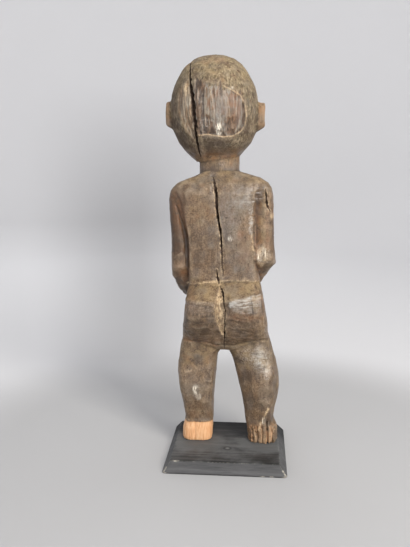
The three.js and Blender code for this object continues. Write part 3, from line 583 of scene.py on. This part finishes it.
def settled_dust(skin):
    """Tan dust on upward faces, the rump's top, thighs, folds, ears and a shoulder ring; painted light on the
    right arm's inside and the fold.
    """
    x, z, behind = skin.x, skin.z, skin.behind
    rump_top = fade(skin.over_ridge, -1, 2) * fade(z, 444, 438) * behind * (np.abs(x) < 110)
    # Painted light on the right arm's inner face, which faces the key light.
    lit_arm_inside = fade(np.abs(x + 87), 12, 6) * fade(np.abs(z - 570), 110, 80) * behind
    thighs = fade(np.abs(z - 240), 50, 20) * behind
    from_ring = np.abs(np.hypot(x - RING_MARK[0], z - RING_MARK[1]) - RING_RADIUS + 2 * skin.ragged)
    dust = 0.8 * rump_top + 0.7 * fade(skin.upward, 0.15, 0.75) + 0.35 * skin.crown
    dust = dust + 0.6 * lit_arm_inside + 0.6 * thighs + 0.5 * fade(from_ring, 4, 1) * behind + skin.ears
    # Along the thigh fold, dust and a painted highlight on its lit edge.
    dust = dust + 0.8 * skin.fold * (x < 20) * behind + 0.8 * spots(skin.flat, DUSTED) * behind
    dust = dust + 0.5 * fade(lumps(skin.points, 7 * MM, 42), 0.15, 0.75) * behind
    return dust * (1 - 0.6 * skin.left_arm) + 0.7 * skin.neck * behind + 0.5 * skin.fold * (x > 20) * behind


def soot_and_painted_shade(skin):
    """Painted shade under the rump, on what faces down, in the left groove and on the left arm; stains and
    more painted shade in spots.
    """
    z, behind = skin.z, skin.behind
    under = fade(skin.over_ridge + 14 * fade(-skin.x, 0, 20), -34, -50) * fade(z, 262, 285) * behind
    shade = under * (0.5 - 0.25 * fade(skin.over_ridge, -58, -90) + 0.28 * strokes(skin.points))
    shade = shade + 0.6 * fade(-skin.upward, 0.1, 0.8) * (1 - skin.neck) * (1 - 0.7 * under)
    shade = shade + 0.45 * fade(skin.broad, 0.1, -0.7) + spots(skin.flat, STAINS_AND_SHADE) * behind
    shade = shade + 0.75 * skin.left_groove * behind + skin.left_arm * (0.6 + 0.35 * fade(z, 550, 600))
    shade = shade + 0.45 * skin.torn * fade(skin.splinter, -0.1, -0.7)
    return shade + 0.8 * skin.rotten * fade(skin.strip, 0.1, -0.5)


def hair_cracks(skin, right_facet):
    """Fine dark cracks: slanting below the ridge, crazing elsewhere and some long ones, with a painted shade
    line round the right facet.
    """
    points, flat, behind = skin.points, skin.flat, skin.behind
    slack = fade(above(flat, RUMP_RIDGE), 0, -14) * fade(skin.z, 268, 285) * behind
    hair = slack * np.maximum(hairlines(points, (9, 9, 2.2), 0.3, 35, 0.13) * (skin.x > 20),
                              0.8 * hairlines(points, (7, 7, 2), -0.35, 36, 0.12) * (skin.x < 0))
    crazed = fade(lumps(points, 11 * MM, 39), 0.1, 0.6) * behind
    hair = np.maximum(hair, 0.5 * hairlines(points, (3, 3, 9), 0, 37, 0.07) * crazed)
    for line in FINE_CRACKS:
        hair = np.maximum(hair, fade(reach(flat, line)[0] + 0.8 * skin.fine, 2.1, 0.7) * behind)
    # A painted shade line round the right facet.
    rim = fade(reach(flat, RIGHT_FACET + RIGHT_FACET[:1])[0] + 0.6 * skin.fine, 2.4, 0.8) * behind
    return np.maximum(hair, 0.42 * rim * (1 - right_facet))


def wear_marks(skin):
    """How far each kind of wear, painted shade and painted highlight reaches at each point, by name."""
    points, flat, z, behind, fine = skin.points, skin.flat, skin.z, skin.behind, skin.fine
    ragged = np.outer(skin.ragged, (0, 1))
    right_facet = within(flat + 2 * ragged, RIGHT_FACET, 1.2) * behind
    left_facet = within(flat + 4 * ragged, LEFT_FACET, 3) * behind
    level_streaks = lumps(points + np.outer(0.2 * points[:, 0], (0, 0, 1)), np.array([8, 8, 1.3]) * MM, 38)
    # A painted highlight on the right facet below the ridge, in level streaks.
    bright = right_facet * (0.85 + 0.7 * level_streaks) * (1 - 0.45 * fade(-skin.x, 60, 68))
    bright = bright * (1 - 0.6 * fade(-skin.over_ridge, 14, 26))
    on_arm = fade(beside(flat, RIGHT_GROOVE), 8, 2) * fade(z, 425, 435) * fade(z, 655, 640)
    sheen = spots(flat, SHEEN) * behind * fade(level_streaks + 0.4 * fine, -0.5, 0.6) * (1 - on_arm)
    streaky = fade(lumps(points, np.array([9, 9, 1.8]) * MM, 13) + 0.5 * skin.ragged, -0.6, 0.5)
    polish_and_highlight = spots(flat, POLISH_AND_HIGHLIGHTS) * behind * (0.35 + 0.65 * streaky)
    cloudy = 0.5 * fade(lumps(points, 8 * MM, 41), 0.05, 0.7)
    lower_crust = fade(z, 765, 780) * (0.2 + 0.7 * behind) * (1 - skin.patch) * (1 - skin.lens)
    return {
        "crack": fade(skin.edge, 0.6, -0.4) * fade(skin.y, -30, -10),
        "flaked": skin.flaked,
        "strip": 0.5 + 0.5 * skin.strip,
        "pale": broken_wood(skin),
        "rust": red_dirt(skin),
        "dust": settled_dust(skin),
        # Painted shade, with stains.
        "shade": soot_and_painted_shade(skin),
        # Smoke, and a painted grey sheen on the back's right side.
        "smoke_and_sheen": (spots(flat, SMOKE_AND_SHEEN_SPOTS) + cloudy) * behind,
        "crust": skin.crown + lower_crust + 0.3 * fade(skin.broad, 0.1, 0.6),
        "bare": skin.bare,
        # Glossier where polished, and lightened in colour as a painted highlight.
        "shine": polish_and_highlight + 0.1 * streaky + 0.12 * left_facet,
        # A painted grey sheen on the facets below the ridge and on the right blade.
        "painted_sheen": bright + 0.1 * left_facet + 0.95 * sheen,
        # Painted near-white highlights.
        "glint": spots(flat, GLINTS) * behind * (0.6 + 0.6 * fine + 0.4 * skin.ragged),
        "hair": hair_cracks(skin, right_facet),
    }


def adze_and_grain(material):
    """Geometry nodes that cut the skin of a carving into shallow adze facets and open its grain."""
    tree = bpy.data.node_groups.new("adze and grain", "GeometryNodeTree")
    tree.interface.new_socket("Geometry", in_out="INPUT", socket_type="NodeSocketGeometry")
    for name in TOOLING:
        tree.interface.new_socket(name, in_out="INPUT", socket_type="NodeSocketFloat")
    tree.interface.new_socket("Geometry", in_out="OUTPUT", socket_type="NodeSocketGeometry")
    sizes = add(tree, "NodeGroupInput")
    spot = add(tree, "GeometryNodeInputPosition")[0]
    shift = add(tree, "ShaderNodeVectorMath", {0: (0.31, 0.77, 0.53), "Scale": sizes["Seed"]},
                operation="SCALE")[0]
    place = add(tree, "ShaderNodeVectorMath", [spot, shift], operation="ADD")[0]

    # Each adze cut is one cell with a leaning, slightly hollow face. Calm places are left as they are.
    cut_size = add(tree, "ShaderNodeCombineXYZ",
                   [sizes["Cut width"], sizes["Cut width"], sizes["Cut length"]])[0]
    in_cuts = add(tree, "ShaderNodeVectorMath", [place, cut_size], operation="DIVIDE")[0]
    cell = add(tree, "ShaderNodeTexVoronoi", {"Vector": in_cuts, "Scale": 1, "Smoothness": 0.15,
                                              "Randomness": 0.9}, feature="SMOOTH_F1")
    from_middle = add(tree, "ShaderNodeVectorMath", [in_cuts, cell["Position"]], operation="SUBTRACT")[0]
    tilt = add(tree, "ShaderNodeVectorMath", [cell["Color"], (0.5, 0.5, 0.5)], operation="SUBTRACT")[0]
    lean = add(tree, "ShaderNodeVectorMath", [from_middle, tilt], operation="DOT_PRODUCT")["Value"]
    hollow = add(tree, "ShaderNodeMath", [cell["Distance"], cell["Distance"]], operation="MULTIPLY")[0]
    facet = add(tree, "ShaderNodeMath", [lean, hollow], operation="ADD")[0]
    calm = add(tree, "GeometryNodeInputNamedAttribute", {"Name": "calm"})[0]
    lively = add(tree, "ShaderNodeMath", [1.0, calm], operation="SUBTRACT")[0]
    cut_depth = add(tree, "ShaderNodeMath", [sizes["Cut depth"], lively], operation="MULTIPLY")[0]
    cuts = add(tree, "ShaderNodeMath", [facet, cut_depth], operation="MULTIPLY")[0]

    # The grain opens in upright fissures.
    grain_size = add(tree, "ShaderNodeCombineXYZ",
                     [sizes["Grain width"], sizes["Grain width"], sizes["Grain length"]])[0]
    in_grain = add(tree, "ShaderNodeVectorMath", [place, grain_size], operation="DIVIDE")[0]
    fibre = add(tree, "ShaderNodeTexNoise", {"Vector": in_grain, "Scale": 1, "Detail": 3,
                                             "Roughness": 0.6})["Fac"]
    fissure = add(tree, "ShaderNodeMapRange", [fibre, 0.36, 0.56, -1, 0.15])[0]
    open_grain = add(tree, "GeometryNodeInputNamedAttribute", {"Name": "open_grain"})[0]
    grain_depth = add(tree, "ShaderNodeMath", [sizes["Grain depth"], open_grain], operation="MULTIPLY")[0]

    height = add(tree, "ShaderNodeMath", [fissure, grain_depth, cuts], operation="MULTIPLY_ADD")[0]
    out = add(tree, "ShaderNodeVectorMath", {0: add(tree, "GeometryNodeInputNormal")[0],
                                             "Scale": height}, operation="SCALE")[0]
    moved = add(tree, "GeometryNodeSetPosition", {"Geometry": sizes["Geometry"], "Offset": out})[0]
    real = add(tree, "GeometryNodeRealizeInstances", [moved])[0]
    dressed = add(tree, "GeometryNodeSetMaterial", {"Geometry": real, "Material": material})[0]
    add(tree, "NodeGroupOutput", [dressed])
    return tree


# The wood was cut with an adze and a knife and never sanded, then oiled by hands and smoked for years. The
# eye sees a mottled brown with a rough tan crust on the head. What lies deep is darkened as painted shade,
# and where hands and blades have passed it is glossier, with a grey painted sheen and painted highlights.
# Fibres, pores and the crust's grain are too fine to show, so they are drawn 1.2, 1.5 and 1.7 mm wide.
def patinated_hardwood():
    """Old oiled hardwood: brown with a smoky crust and tan dust, glossier where hands rub it, with painted
    shade and painted highlights.
    """
    material, tree = new_material("patinated_hardwood")
    place = add(tree, "ShaderNodeTexCoord")["Object"]
    along = add(tree, "ShaderNodeMapping", {"Vector": place, "Scale": (1, 1, 0.08)})[0]
    upright = add(tree, "ShaderNodeMapping", {"Vector": place, "Scale": (1, 1, 0.4)})[0]
    across = add(tree, "ShaderNodeMapping", {"Vector": place, "Scale": (0.2, 0.2, 1),
                                             "Rotation": (0, 0.25, 0)})[0]
    patterns = {"clouds": (place, CLOUDS, 4, 0.6), "mottle": (place, MOTTLE, 5, 0.62),
                "pores": (place, PORES, 3, 0.65), "fibre": (along, FIBRE, 4, 0.65),
                "knife": (across, KNIFE_MARKS, 3, 0.6), "bark": (upright, BARK, 4, 0.65)}
    chance = {name: add(tree, "ShaderNodeTexNoise", {"Vector": vector, "Scale": 1 / size, "Detail": detail,
                                                     "Roughness": roughness})["Fac"]
              for name, (vector, size, detail, roughness) in patterns.items()}
    worn = {name: add(tree, "ShaderNodeAttribute", attribute_name=name)["Fac"]
            for name in ("crack", "flaked", "strip", "pale", "rust", "dust", "smoke_and_sheen", "shade", "crust",
                         "bare", "shine", "painted_sheen", "glint", "hair", "hollow", "proud")}

    tone = add(tree, "ShaderNodeMix", {0: 0.55, 2: chance["mottle"], 3: chance["pores"]})[0]
    tone = add(tree, "ShaderNodeMix", {0: 0.25, 2: tone, 3: chance["fibre"]})[0]
    oiled = add(tree, "ShaderNodeValToRGB", [tone],
                [(0.33, "#3b2c1f"), (0.44, "#604b36"), (0.53, "#775f46"), (0.66, "#9c8569")])[0]
    crusty = add(tree, "ShaderNodeValToRGB", [chance["bark"]],
                 [(0.39, "#271f16"), (0.47, "#564c38"), (0.55, "#7a6d54"), (0.64, "#9f927a")])[0]
    streaked = add(tree, "ShaderNodeMix", {0: 0.6, 2: worn["strip"], 3: chance["fibre"]})[0]
    splinters = add(tree, "ShaderNodeValToRGB", [streaked],
                    [(0.26, "#2c2118"), (0.37, "#54402e"), (0.44, "#775b45"), (0.5, "#6b6052"),
                     (0.57, "#8d877c"), (0.64, "#6b5846"), (0.74, "#b8a78e")])[0]
    pale_wood = add(tree, "ShaderNodeValToRGB", [chance["fibre"]], [(0.35, "#a88a66"), (0.6, "#d8c09c")])[0]
    pared = add(tree, "ShaderNodeValToRGB", [chance["fibre"]],
                [(0.3, "#c68d5c"), (0.48, "#e0aa7c"), (0.7, "#ecc598")])[0]

    # Each kind of wear lies over the last: its most, its colour, and the pattern that makes it patchy. The
    # darkening under the rump, in hollows, on the left arm and round the right facet is painted shade; the
    # pale shine, grey sheens and glints are painted highlights.
    smoky = add(tree, "ShaderNodeMapRange", [chance["clouds"], 0.42, 0.66, 0, 0.45])[0]
    colour = add(tree, "ShaderNodeMix", {0: smoky, 6: oiled, 7: linear("#4f4943")}, data_type="RGBA")[2]
    layers = [("crust", 0.9, crusty, "mottle", 0.34, 0.48),
              ("dust", 0.6, linear("#98835f"), "mottle", 0.35, 0.6),
              ("flaked", 0.9, splinters, "pores", 0.2, 0.4),
              ("rust", 0.75, linear("#7d4f2b"), "mottle", 0.34, 0.56),
              ("smoke_and_sheen", 0.65, linear("#6b6966"), "mottle", 0.3, 0.6),
              ("shade", 0.8, linear("#3b2b1d"), "clouds", 0.2, 0.55),
              ("proud", 0.4, linear("#a08e76"), "mottle", 0.3, 0.6),
              ("hollow", 0.75, linear("#30241a"), "pores", 0.3, 0.6),
              ("pale", 0.95, pale_wood, "pores", 0.25, 0.5),
              ("shine", 0.42, linear("#c6c1b8"), "pores", 0.36, 0.64),
              ("painted_sheen", 0.75, linear("#c2bfb8"), "knife", 0.34, 0.56),
              ("glint", 1.0, linear("#f6edda"), "fibre", 0.42, 0.55),
              ("hair", 0.75, linear("#2a1d13"), "pores", 0.3, 0.5)]
    for name, most, tint, pattern, none, full in layers:
        patchy = add(tree, "ShaderNodeMapRange", [chance[pattern], none, full, 0, most])[0]
        share = add(tree, "ShaderNodeMath", [worn[name], patchy], operation="MULTIPLY")[0]
        colour = add(tree, "ShaderNodeMix", {0: share, 6: colour, 7: tint}, data_type="RGBA")[2]
    # Bared heel wood, then the splits painted near black: painted shade inside the splits.
    for name, tint in (("bare", pared), ("crack", linear("#2b1a0e"))):
        colour = add(tree, "ShaderNodeMix", {0: worn[name], 6: colour, 7: tint}, data_type="RGBA")[2]

    dull = add(tree, "ShaderNodeMapRange", [tone, 0.4, 0.6, 0.32, 0.52])[0]
    crusted = add(tree, "ShaderNodeMath", [worn["crust"], worn["dust"]], operation="MAXIMUM")[0]
    for share, rough in ((worn["shine"], 0.22), (crusted, 0.85), (worn["crack"], 0.9), (worn["bare"], 0.7)):
        dull = add(tree, "ShaderNodeMix", {0: share, 2: dull, 3: rough})[0]
    grit = add(tree, "ShaderNodeMix", {0: 0.5, 2: chance["fibre"], 3: chance["pores"]})[0]
    relief = add(tree, "ShaderNodeBump", {"Height": grit, "Distance": 0.18 * MM, "Strength": 0.7})[0]
    shader = add(tree, "ShaderNodeBsdfPrincipled", {"Base Color": colour, "Roughness": dull, "Normal": relief,
                                                    "IOR": 1.5})
    add(tree, "ShaderNodeOutputMaterial", {"Surface": shader[0]})
    return material


def edge_ends(mesh):
    """The two points of each edge of a mesh."""
    ends = np.empty(2 * len(mesh.edges), np.int32)
    mesh.edges.foreach_get("vertices", ends)
    return ends.reshape(-1, 2)


def iron_out(points, edges, amount, rounds):
    """Smooths points towards their neighbours, each by its own amount."""
    neighbours = np.maximum(np.bincount(edges.ravel(), minlength=len(points)), 1)
    for axis in range(3):
        smooth = points[:, axis]
        for _ in range(rounds):
            total = np.bincount(edges[:, 0], smooth[edges[:, 1]], len(points))
            total += np.bincount(edges[:, 1], smooth[edges[:, 0]], len(points))
            smooth = 0.5 * smooth + 0.5 * total / neighbours
        points[:, axis] += amount * (smooth - points[:, axis])


# The dome of the head and the legs were scraped smooth. The nape stands up a little above the neck.
figure = fine_copy("figure", "carved_figure", FIGURE_MESH, 2)
points = read(figure.data, "co")
place = carving_place(points)
x, y, z = place.T
features = fade(y, -60, -100) * fade(z, 905, 880)
dome = fade(z, 744, 760) * fade(split_edge(points, place), 3, 9)
dome *= fade(reach(place[:, [0, 2]], FLAKED_PATCH)[0], 2, 8) * (1 - 0.85 * features)
legs = 0.8 * fade(z, 250, 230) * fade(z, 50, 70)
iron_out(points, edge_ends(figure.data), np.maximum(dome, legs), 14)
nape = fade(x, -30, 0) * fade(x, 66, 50) * fade(y, 0, 25) * fade(z, 705, 735) * fade(z, 802, 756)
points[:, 2] += NAPE_RISE * nape
set_gapes(points, place)
write(figure.data, points)

# The finer relief is gathered as how far the skin stands out, in millimetres. First come crumbled lips,
# strips flaked off the head, splinters in the torn sliver and knife strokes under the rump.
normals = read(figure.data, "normal")
skin = survey(points, normals)
flat, x, y, z, edge = skin.flat, skin.x, skin.y, skin.z, skin.edge
back = fade(normals[:, 1], 0, 0.4)
crumbs = fade(lumps(points, 2.4 * MM, 22), -0.2, 0.8) * fade(edge, 6, 1)
under = fade(above(flat, RUMP_RIDGE), -34, -50) * fade(z, 272, 285) * back
sliver = within(flat, TORN_SLIVER, 3) * back
ridge = fade(np.abs(above(flat, RUMP_RIDGE)), 8, 2) * back
fold = fade(np.abs(above(flat, THIGH_FOLD) - 1), 6, 0) * back
out = skin.flaked * FLAKES * skin.strip - CRUMBS * crumbs + under * STROKES * strokes(points)
out += sliver * (0.7 * strips(1.6 * points) - 0.9) + RIDGE_RISE * ridge - FOLD_DEPTH * fold

# A deep groove parts each arm from the flat panel of the back. The right elbow is a little swollen.
past_right = beside(flat, RIGHT_GROOVE)
past_left = beside(flat, LEFT_GROOVE)
right_arm = np.where(past_right < 0, fade(-past_right, 22, 0), fade(past_right, 9, 0))
left_arm = np.where(past_left > 0, fade(past_left, 20, 0), fade(-past_left, 7, 0))
right_depth, left_depth = ARM_GROOVES
grooves = right_depth * right_arm * fade(z, 500, 550) + left_depth * left_arm * fade(z, 430, 470)
out -= grooves * fade(z, 678, 650) * back
elbow = fade(np.hypot((flat[:, 0] - RIGHT_ELBOW[0]) / 24, (flat[:, 1] - RIGHT_ELBOW[1]) / 32), 1, 0)
out += ELBOW_RISE * elbow * back

# Closed lips and lowered lids, then the gaps between the fingers and the toes.
lip_line = fade(np.abs(z - MOUTH - 0.002 * (x - MIDDLE_OF_HEAD) ** 2), 3, 0.6)
lip_line *= fade(np.abs(x - MIDDLE_OF_HEAD), 29, 24) * fade(y, -90, -100)
from_pupil = np.abs(x - MIDDLE_OF_HEAD) - EYE_FROM_NOSE
lid_line = fade(np.abs(z - EYES + 0.006 * from_pupil ** 2), 2.6, 0.6)
lid_line *= fade(np.abs(from_pupil), 25, 20) * fade(y, -80, -90)
out -= LIPS * lip_line + LIDS * lid_line
for start, end, level in FINGERS:
    for drop in (-11, 0, 11):
        gap = fade(np.abs(z - level - drop - 0.08 * (x - start)), 3.4, 0.6)
        gap = gap * fade(x, start - 3, start + 3) * fade(x, end + 6, end - 6) * fade(y, -90, -100)
        out -= FINGER_GAPS * gap
for left_side, right_side in FEET:
    for share in (0.2, 0.4, 0.6, 0.8):
        gap = fade(np.abs(x - left_side - share * (right_side - left_side)), 3, 0.8)
        gap = gap * fade(y, -92, -104) * fade(z, 28, 22) * (1 - np.abs(normals[:, 0]))
        out -= TOE_GAPS * gap

# The right heel has rotted in furrows; the left one is pared a shade deeper than its crust, with one groove.
right_foot = fade(z, 60, 30) * (x < -40) * fade(y, -50, -10)
chunks = fade(lumps(points, np.array([3, 3, 5]) * MM, 25) + 0.4 * lumps(points, 1.4 * MM, 26), 0.1, 0.9)
heel_cut = fade(np.abs(x - HEEL_CUT_X), 4, 0.5) * fade(z, 4, 12) * back
out -= FURROWS * right_foot * chunks + skin.bare * (PARING + HEEL_CUT * heel_cut)

# The whole skin is a little uneven, and the upper splits are sunk deeper between their lips.
out += UNEVENNESS * lumps(points, 30 * MM, 27)
out -= SUNK_SPLITS * fade(edge, 0.5, -1.6) * back * fade(z, 640, 670)
points += normals * (MM * out)[:, None]
write(figure.data, points)

face = fade(y, -70, -95) * (z > 750)
toes = fade(z, 60, 40) * fade(y, -30, -60)
mark(figure.data, "calm", 0.95 * face + 0.7 * toes + skin.bare + skin.flaked + fade(edge, 12, 4))
rough = 0.12 * (1 - face) + 0.6 * skin.flaked + 0.75 * right_foot + 0.4 * fade(edge, 20, 3) + sliver
mark(figure.data, "open_grain", rough)

hardwood = patinated_hardwood()
tooled = figure.modifiers.new("adze and grain", "NODES")
tooled.node_group = adze_and_grain(hardwood)
for socket in tooled.node_group.interface.items_tree:
    if socket.in_out == "INPUT" and socket.name in TOOLING:
        tooled[socket.identifier] = TOOLING[socket.name]
settle(figure)
thin_out(figure, FIGURE_FACES)

points = read(figure.data, "co")
normals = read(figure.data, "normal")
skin = survey(points, normals)
for name, values in wear_marks(skin).items():
    mark(figure.data, name, values)

# What lies lower than its surroundings is darkened, as grime and painted shade, and hands rub what stands
# proud. The upper left arm is darkened all over as painted shade, and dust has filled the hollow under the
# waist line.
mean = points.copy()
iron_out(mean, edge_ends(figure.data), 1, 24)
height = np.einsum("ij,ij->i", points - mean, normals)
left_arm_shade = fade(skin.x, 98, 112) * fade(np.abs(skin.z - 605), 80, 30) * skin.behind
filled = fade(np.abs(skin.z - 433), 16, 8) * fade(skin.x, 20, 30) * fade(skin.x, 102, 92) * skin.behind
proud, hollow = (fade(way * height, 0.1 * MM, 0.45 * MM) for way in (1, -1))
mark(figure.data, "proud", proud * (1 - left_arm_shade))
mark(figure.data, "hollow", hollow * (1 - 0.85 * filled) + 0.4 * left_arm_shade)

figure.data.materials.clear()
figure.data.materials.append(hardwood)
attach(figure, "root")
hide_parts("figure")

# Studio: a pale matt paper sweep that closes round the object and glows towards its rim, as painted light. A
# soft key light stands high on the right, with weak ones on the left, above, in front and near the camera.
SWEEP_RADIUS = 2.4
SWEEP_BEND = 0.9
SWEEP_HEIGHT = 3.2
SWEEP_STEPS = 12
SWEEP_SIDES = 96
MIDDLE = Vector((0, 0, 0.2))
ROOM_LIGHT = 0.21


def sweep_profile():
    """Radius and height of the sweep from its centre to its rim."""
    flat_end = SWEEP_RADIUS - SWEEP_BEND
    turns = np.linspace(0, np.pi / 2, SWEEP_STEPS)
    curve = [(flat_end + SWEEP_BEND * np.sin(t), SWEEP_BEND * (1 - np.cos(t))) for t in turns]
    return [(flat_end * share, 0) for share in (0.25, 0.5, 0.75)] + curve + [(SWEEP_RADIUS, SWEEP_HEIGHT)]


# Seamless paper, rolled matt: an even pale grey without gloss, darker close to the object, where the light
# falls off, and along a soft wedge of shadow beside it.
def matt_paper():
    """Matt photographic paper that glows towards its rim, painted light that keeps it evenly bright, so that
    no horizon shows.
    """
    material, tree = new_material("matt_paper")
    place = add(tree, "ShaderNodeTexCoord")["Object"]
    far = add(tree, "ShaderNodeVectorMath", [place], operation="LENGTH")["Value"]
    outer = add(tree, "ShaderNodeMapRange", [far, 0.24, 0.42, 0, 1], interpolation_type="SMOOTHSTEP")[0]
    tone = add(tree, "ShaderNodeMix", {0: outer, 6: linear("#b1b1b2"), 7: linear("#d4d4d6")},
               data_type="RGBA")[2]

    # The wedge widens as it leaves the object, and ends at its sides, near its tip and up the bend.
    axes = add(tree, "ShaderNodeSeparateXYZ", [place])
    aside = add(tree, "ShaderNodeMath", [axes["Y"], 0.2, axes["X"]], operation="MULTIPLY_ADD")[0]
    aside = add(tree, "ShaderNodeMath", [aside, 0.1], operation="SUBTRACT")[0]
    spread = add(tree, "ShaderNodeMath", [axes["Y"], -0.19, 0.1], operation="MULTIPLY_ADD")[0]
    across = add(tree, "ShaderNodeMath", [aside, spread], operation="DIVIDE")[0]
    shady = add(tree, "ShaderNodeMapRange", [across, 0, 1, 1, 0], interpolation_type="SMOOTHSTEP")[0]
    for value, start, end in ((across, -0.7, -0.1), (axes["Y"], -0.12, -0.32), (axes["Z"], 0.65, 0.1)):
        bound = add(tree, "ShaderNodeMapRange", [value, start, end, 0, 1])[0]
        shady = add(tree, "ShaderNodeMath", [shady, bound], operation="MULTIPLY")[0]
    tone = add(tree, "ShaderNodeMix", {0: shady, 6: tone, 7: linear("#b2b2b4")}, data_type="RGBA")[2]
    # The paper glows more towards its rim: painted light.
    glow = add(tree, "ShaderNodeMapRange", [far, 0.3, 2.8, 0, 0.235])[0]
    shader = add(tree, "ShaderNodeBsdfPrincipled", {"Base Color": tone, "Roughness": 0.9,
                                                    "Emission Color": tone, "Emission Strength": glow})
    add(tree, "ShaderNodeOutputMaterial", {"Surface": shader[0]})
    return material


shell = bmesh.new()
angles = np.linspace(0, 2 * np.pi, SWEEP_SIDES, False)
rings = [[shell.verts.new((radius * np.cos(a), radius * np.sin(a), level)) for a in angles]
         for radius, level in sweep_profile()]
for inner, outer in zip(rings[:-1], rings[1:]):
    for i in range(SWEEP_SIDES):
        shell.faces.new([inner[i - 1], outer[i - 1], outer[i], inner[i]])
shell.faces.new(rings[0])
sweep_mesh = bpy.data.meshes.new("sweep")
shell.to_mesh(sweep_mesh)
shell.free()
sweep_mesh.shade_smooth()
sweep_mesh.materials.append(matt_paper())
sweep = new_object("sweep", sweep_mesh)


def soft_light(name, place, size, watts, colour):
    """A square soft box that faces the middle of the figure."""
    lamp = bpy.data.lights.new(name, "AREA")
    lamp.shape = "SQUARE"
    lamp.size = size
    lamp.energy = watts
    lamp.color = linear(colour)[:3]
    light = new_object(name, lamp)
    light.location = place
    light.rotation_euler = (MIDDLE - Vector(place)).to_track_quat("-Z", "Y").to_euler()


soft_light("key", (-0.95, 1.2, 1.0), 0.6, 28, "#fffaf2")
soft_light("fill", (1.2, 1.1, 1.0), 1.2, 1.5, "#f4f7ff")
soft_light("gloss", (-0.35, 1.3, 0.75), 0.25, 4, "#f6f8ff")
soft_light("top", (0, -0.1, 2.2), 1.2, 12, "#ffffff")
soft_light("front", (0.5, -1.4, 0.9), 1.0, 4, "#ffffff")

world = bpy.data.worlds.new("studio")
bpy.context.scene.world = world
world.use_nodes = True
world.node_tree.nodes["Background"].inputs["Color"].default_value = linear("#f2f4f7")
world.node_tree.nodes["Background"].inputs["Strength"].default_value = ROOM_LIGHT

# Camera: fitted to the board's corners, a little above the figure and behind it. Its focal length is
# given as a share of the picture's height.
CAMERA_PLACE = Vector((-0.0304, 0.6402, 0.2923))
CAMERA_WAY = Vector((0.0823, -0.9833, -0.1622))
SENSOR_WIDTH = 36
FOCAL_SHARE = 650 / 547

lens = bpy.data.cameras.new("camera")
lens.sensor_width = SENSOR_WIDTH
lens.lens = SENSOR_WIDTH * FOCAL_SHARE
lens.clip_start = 0.01
camera = new_object("camera", lens)
camera.location = CAMERA_PLACE
camera.rotation_euler = CAMERA_WAY.to_track_quat("-Z", "Y").to_euler()
bpy.context.scene.camera = camera
bpy.context.scene.view_settings.view_transform = "Standard"
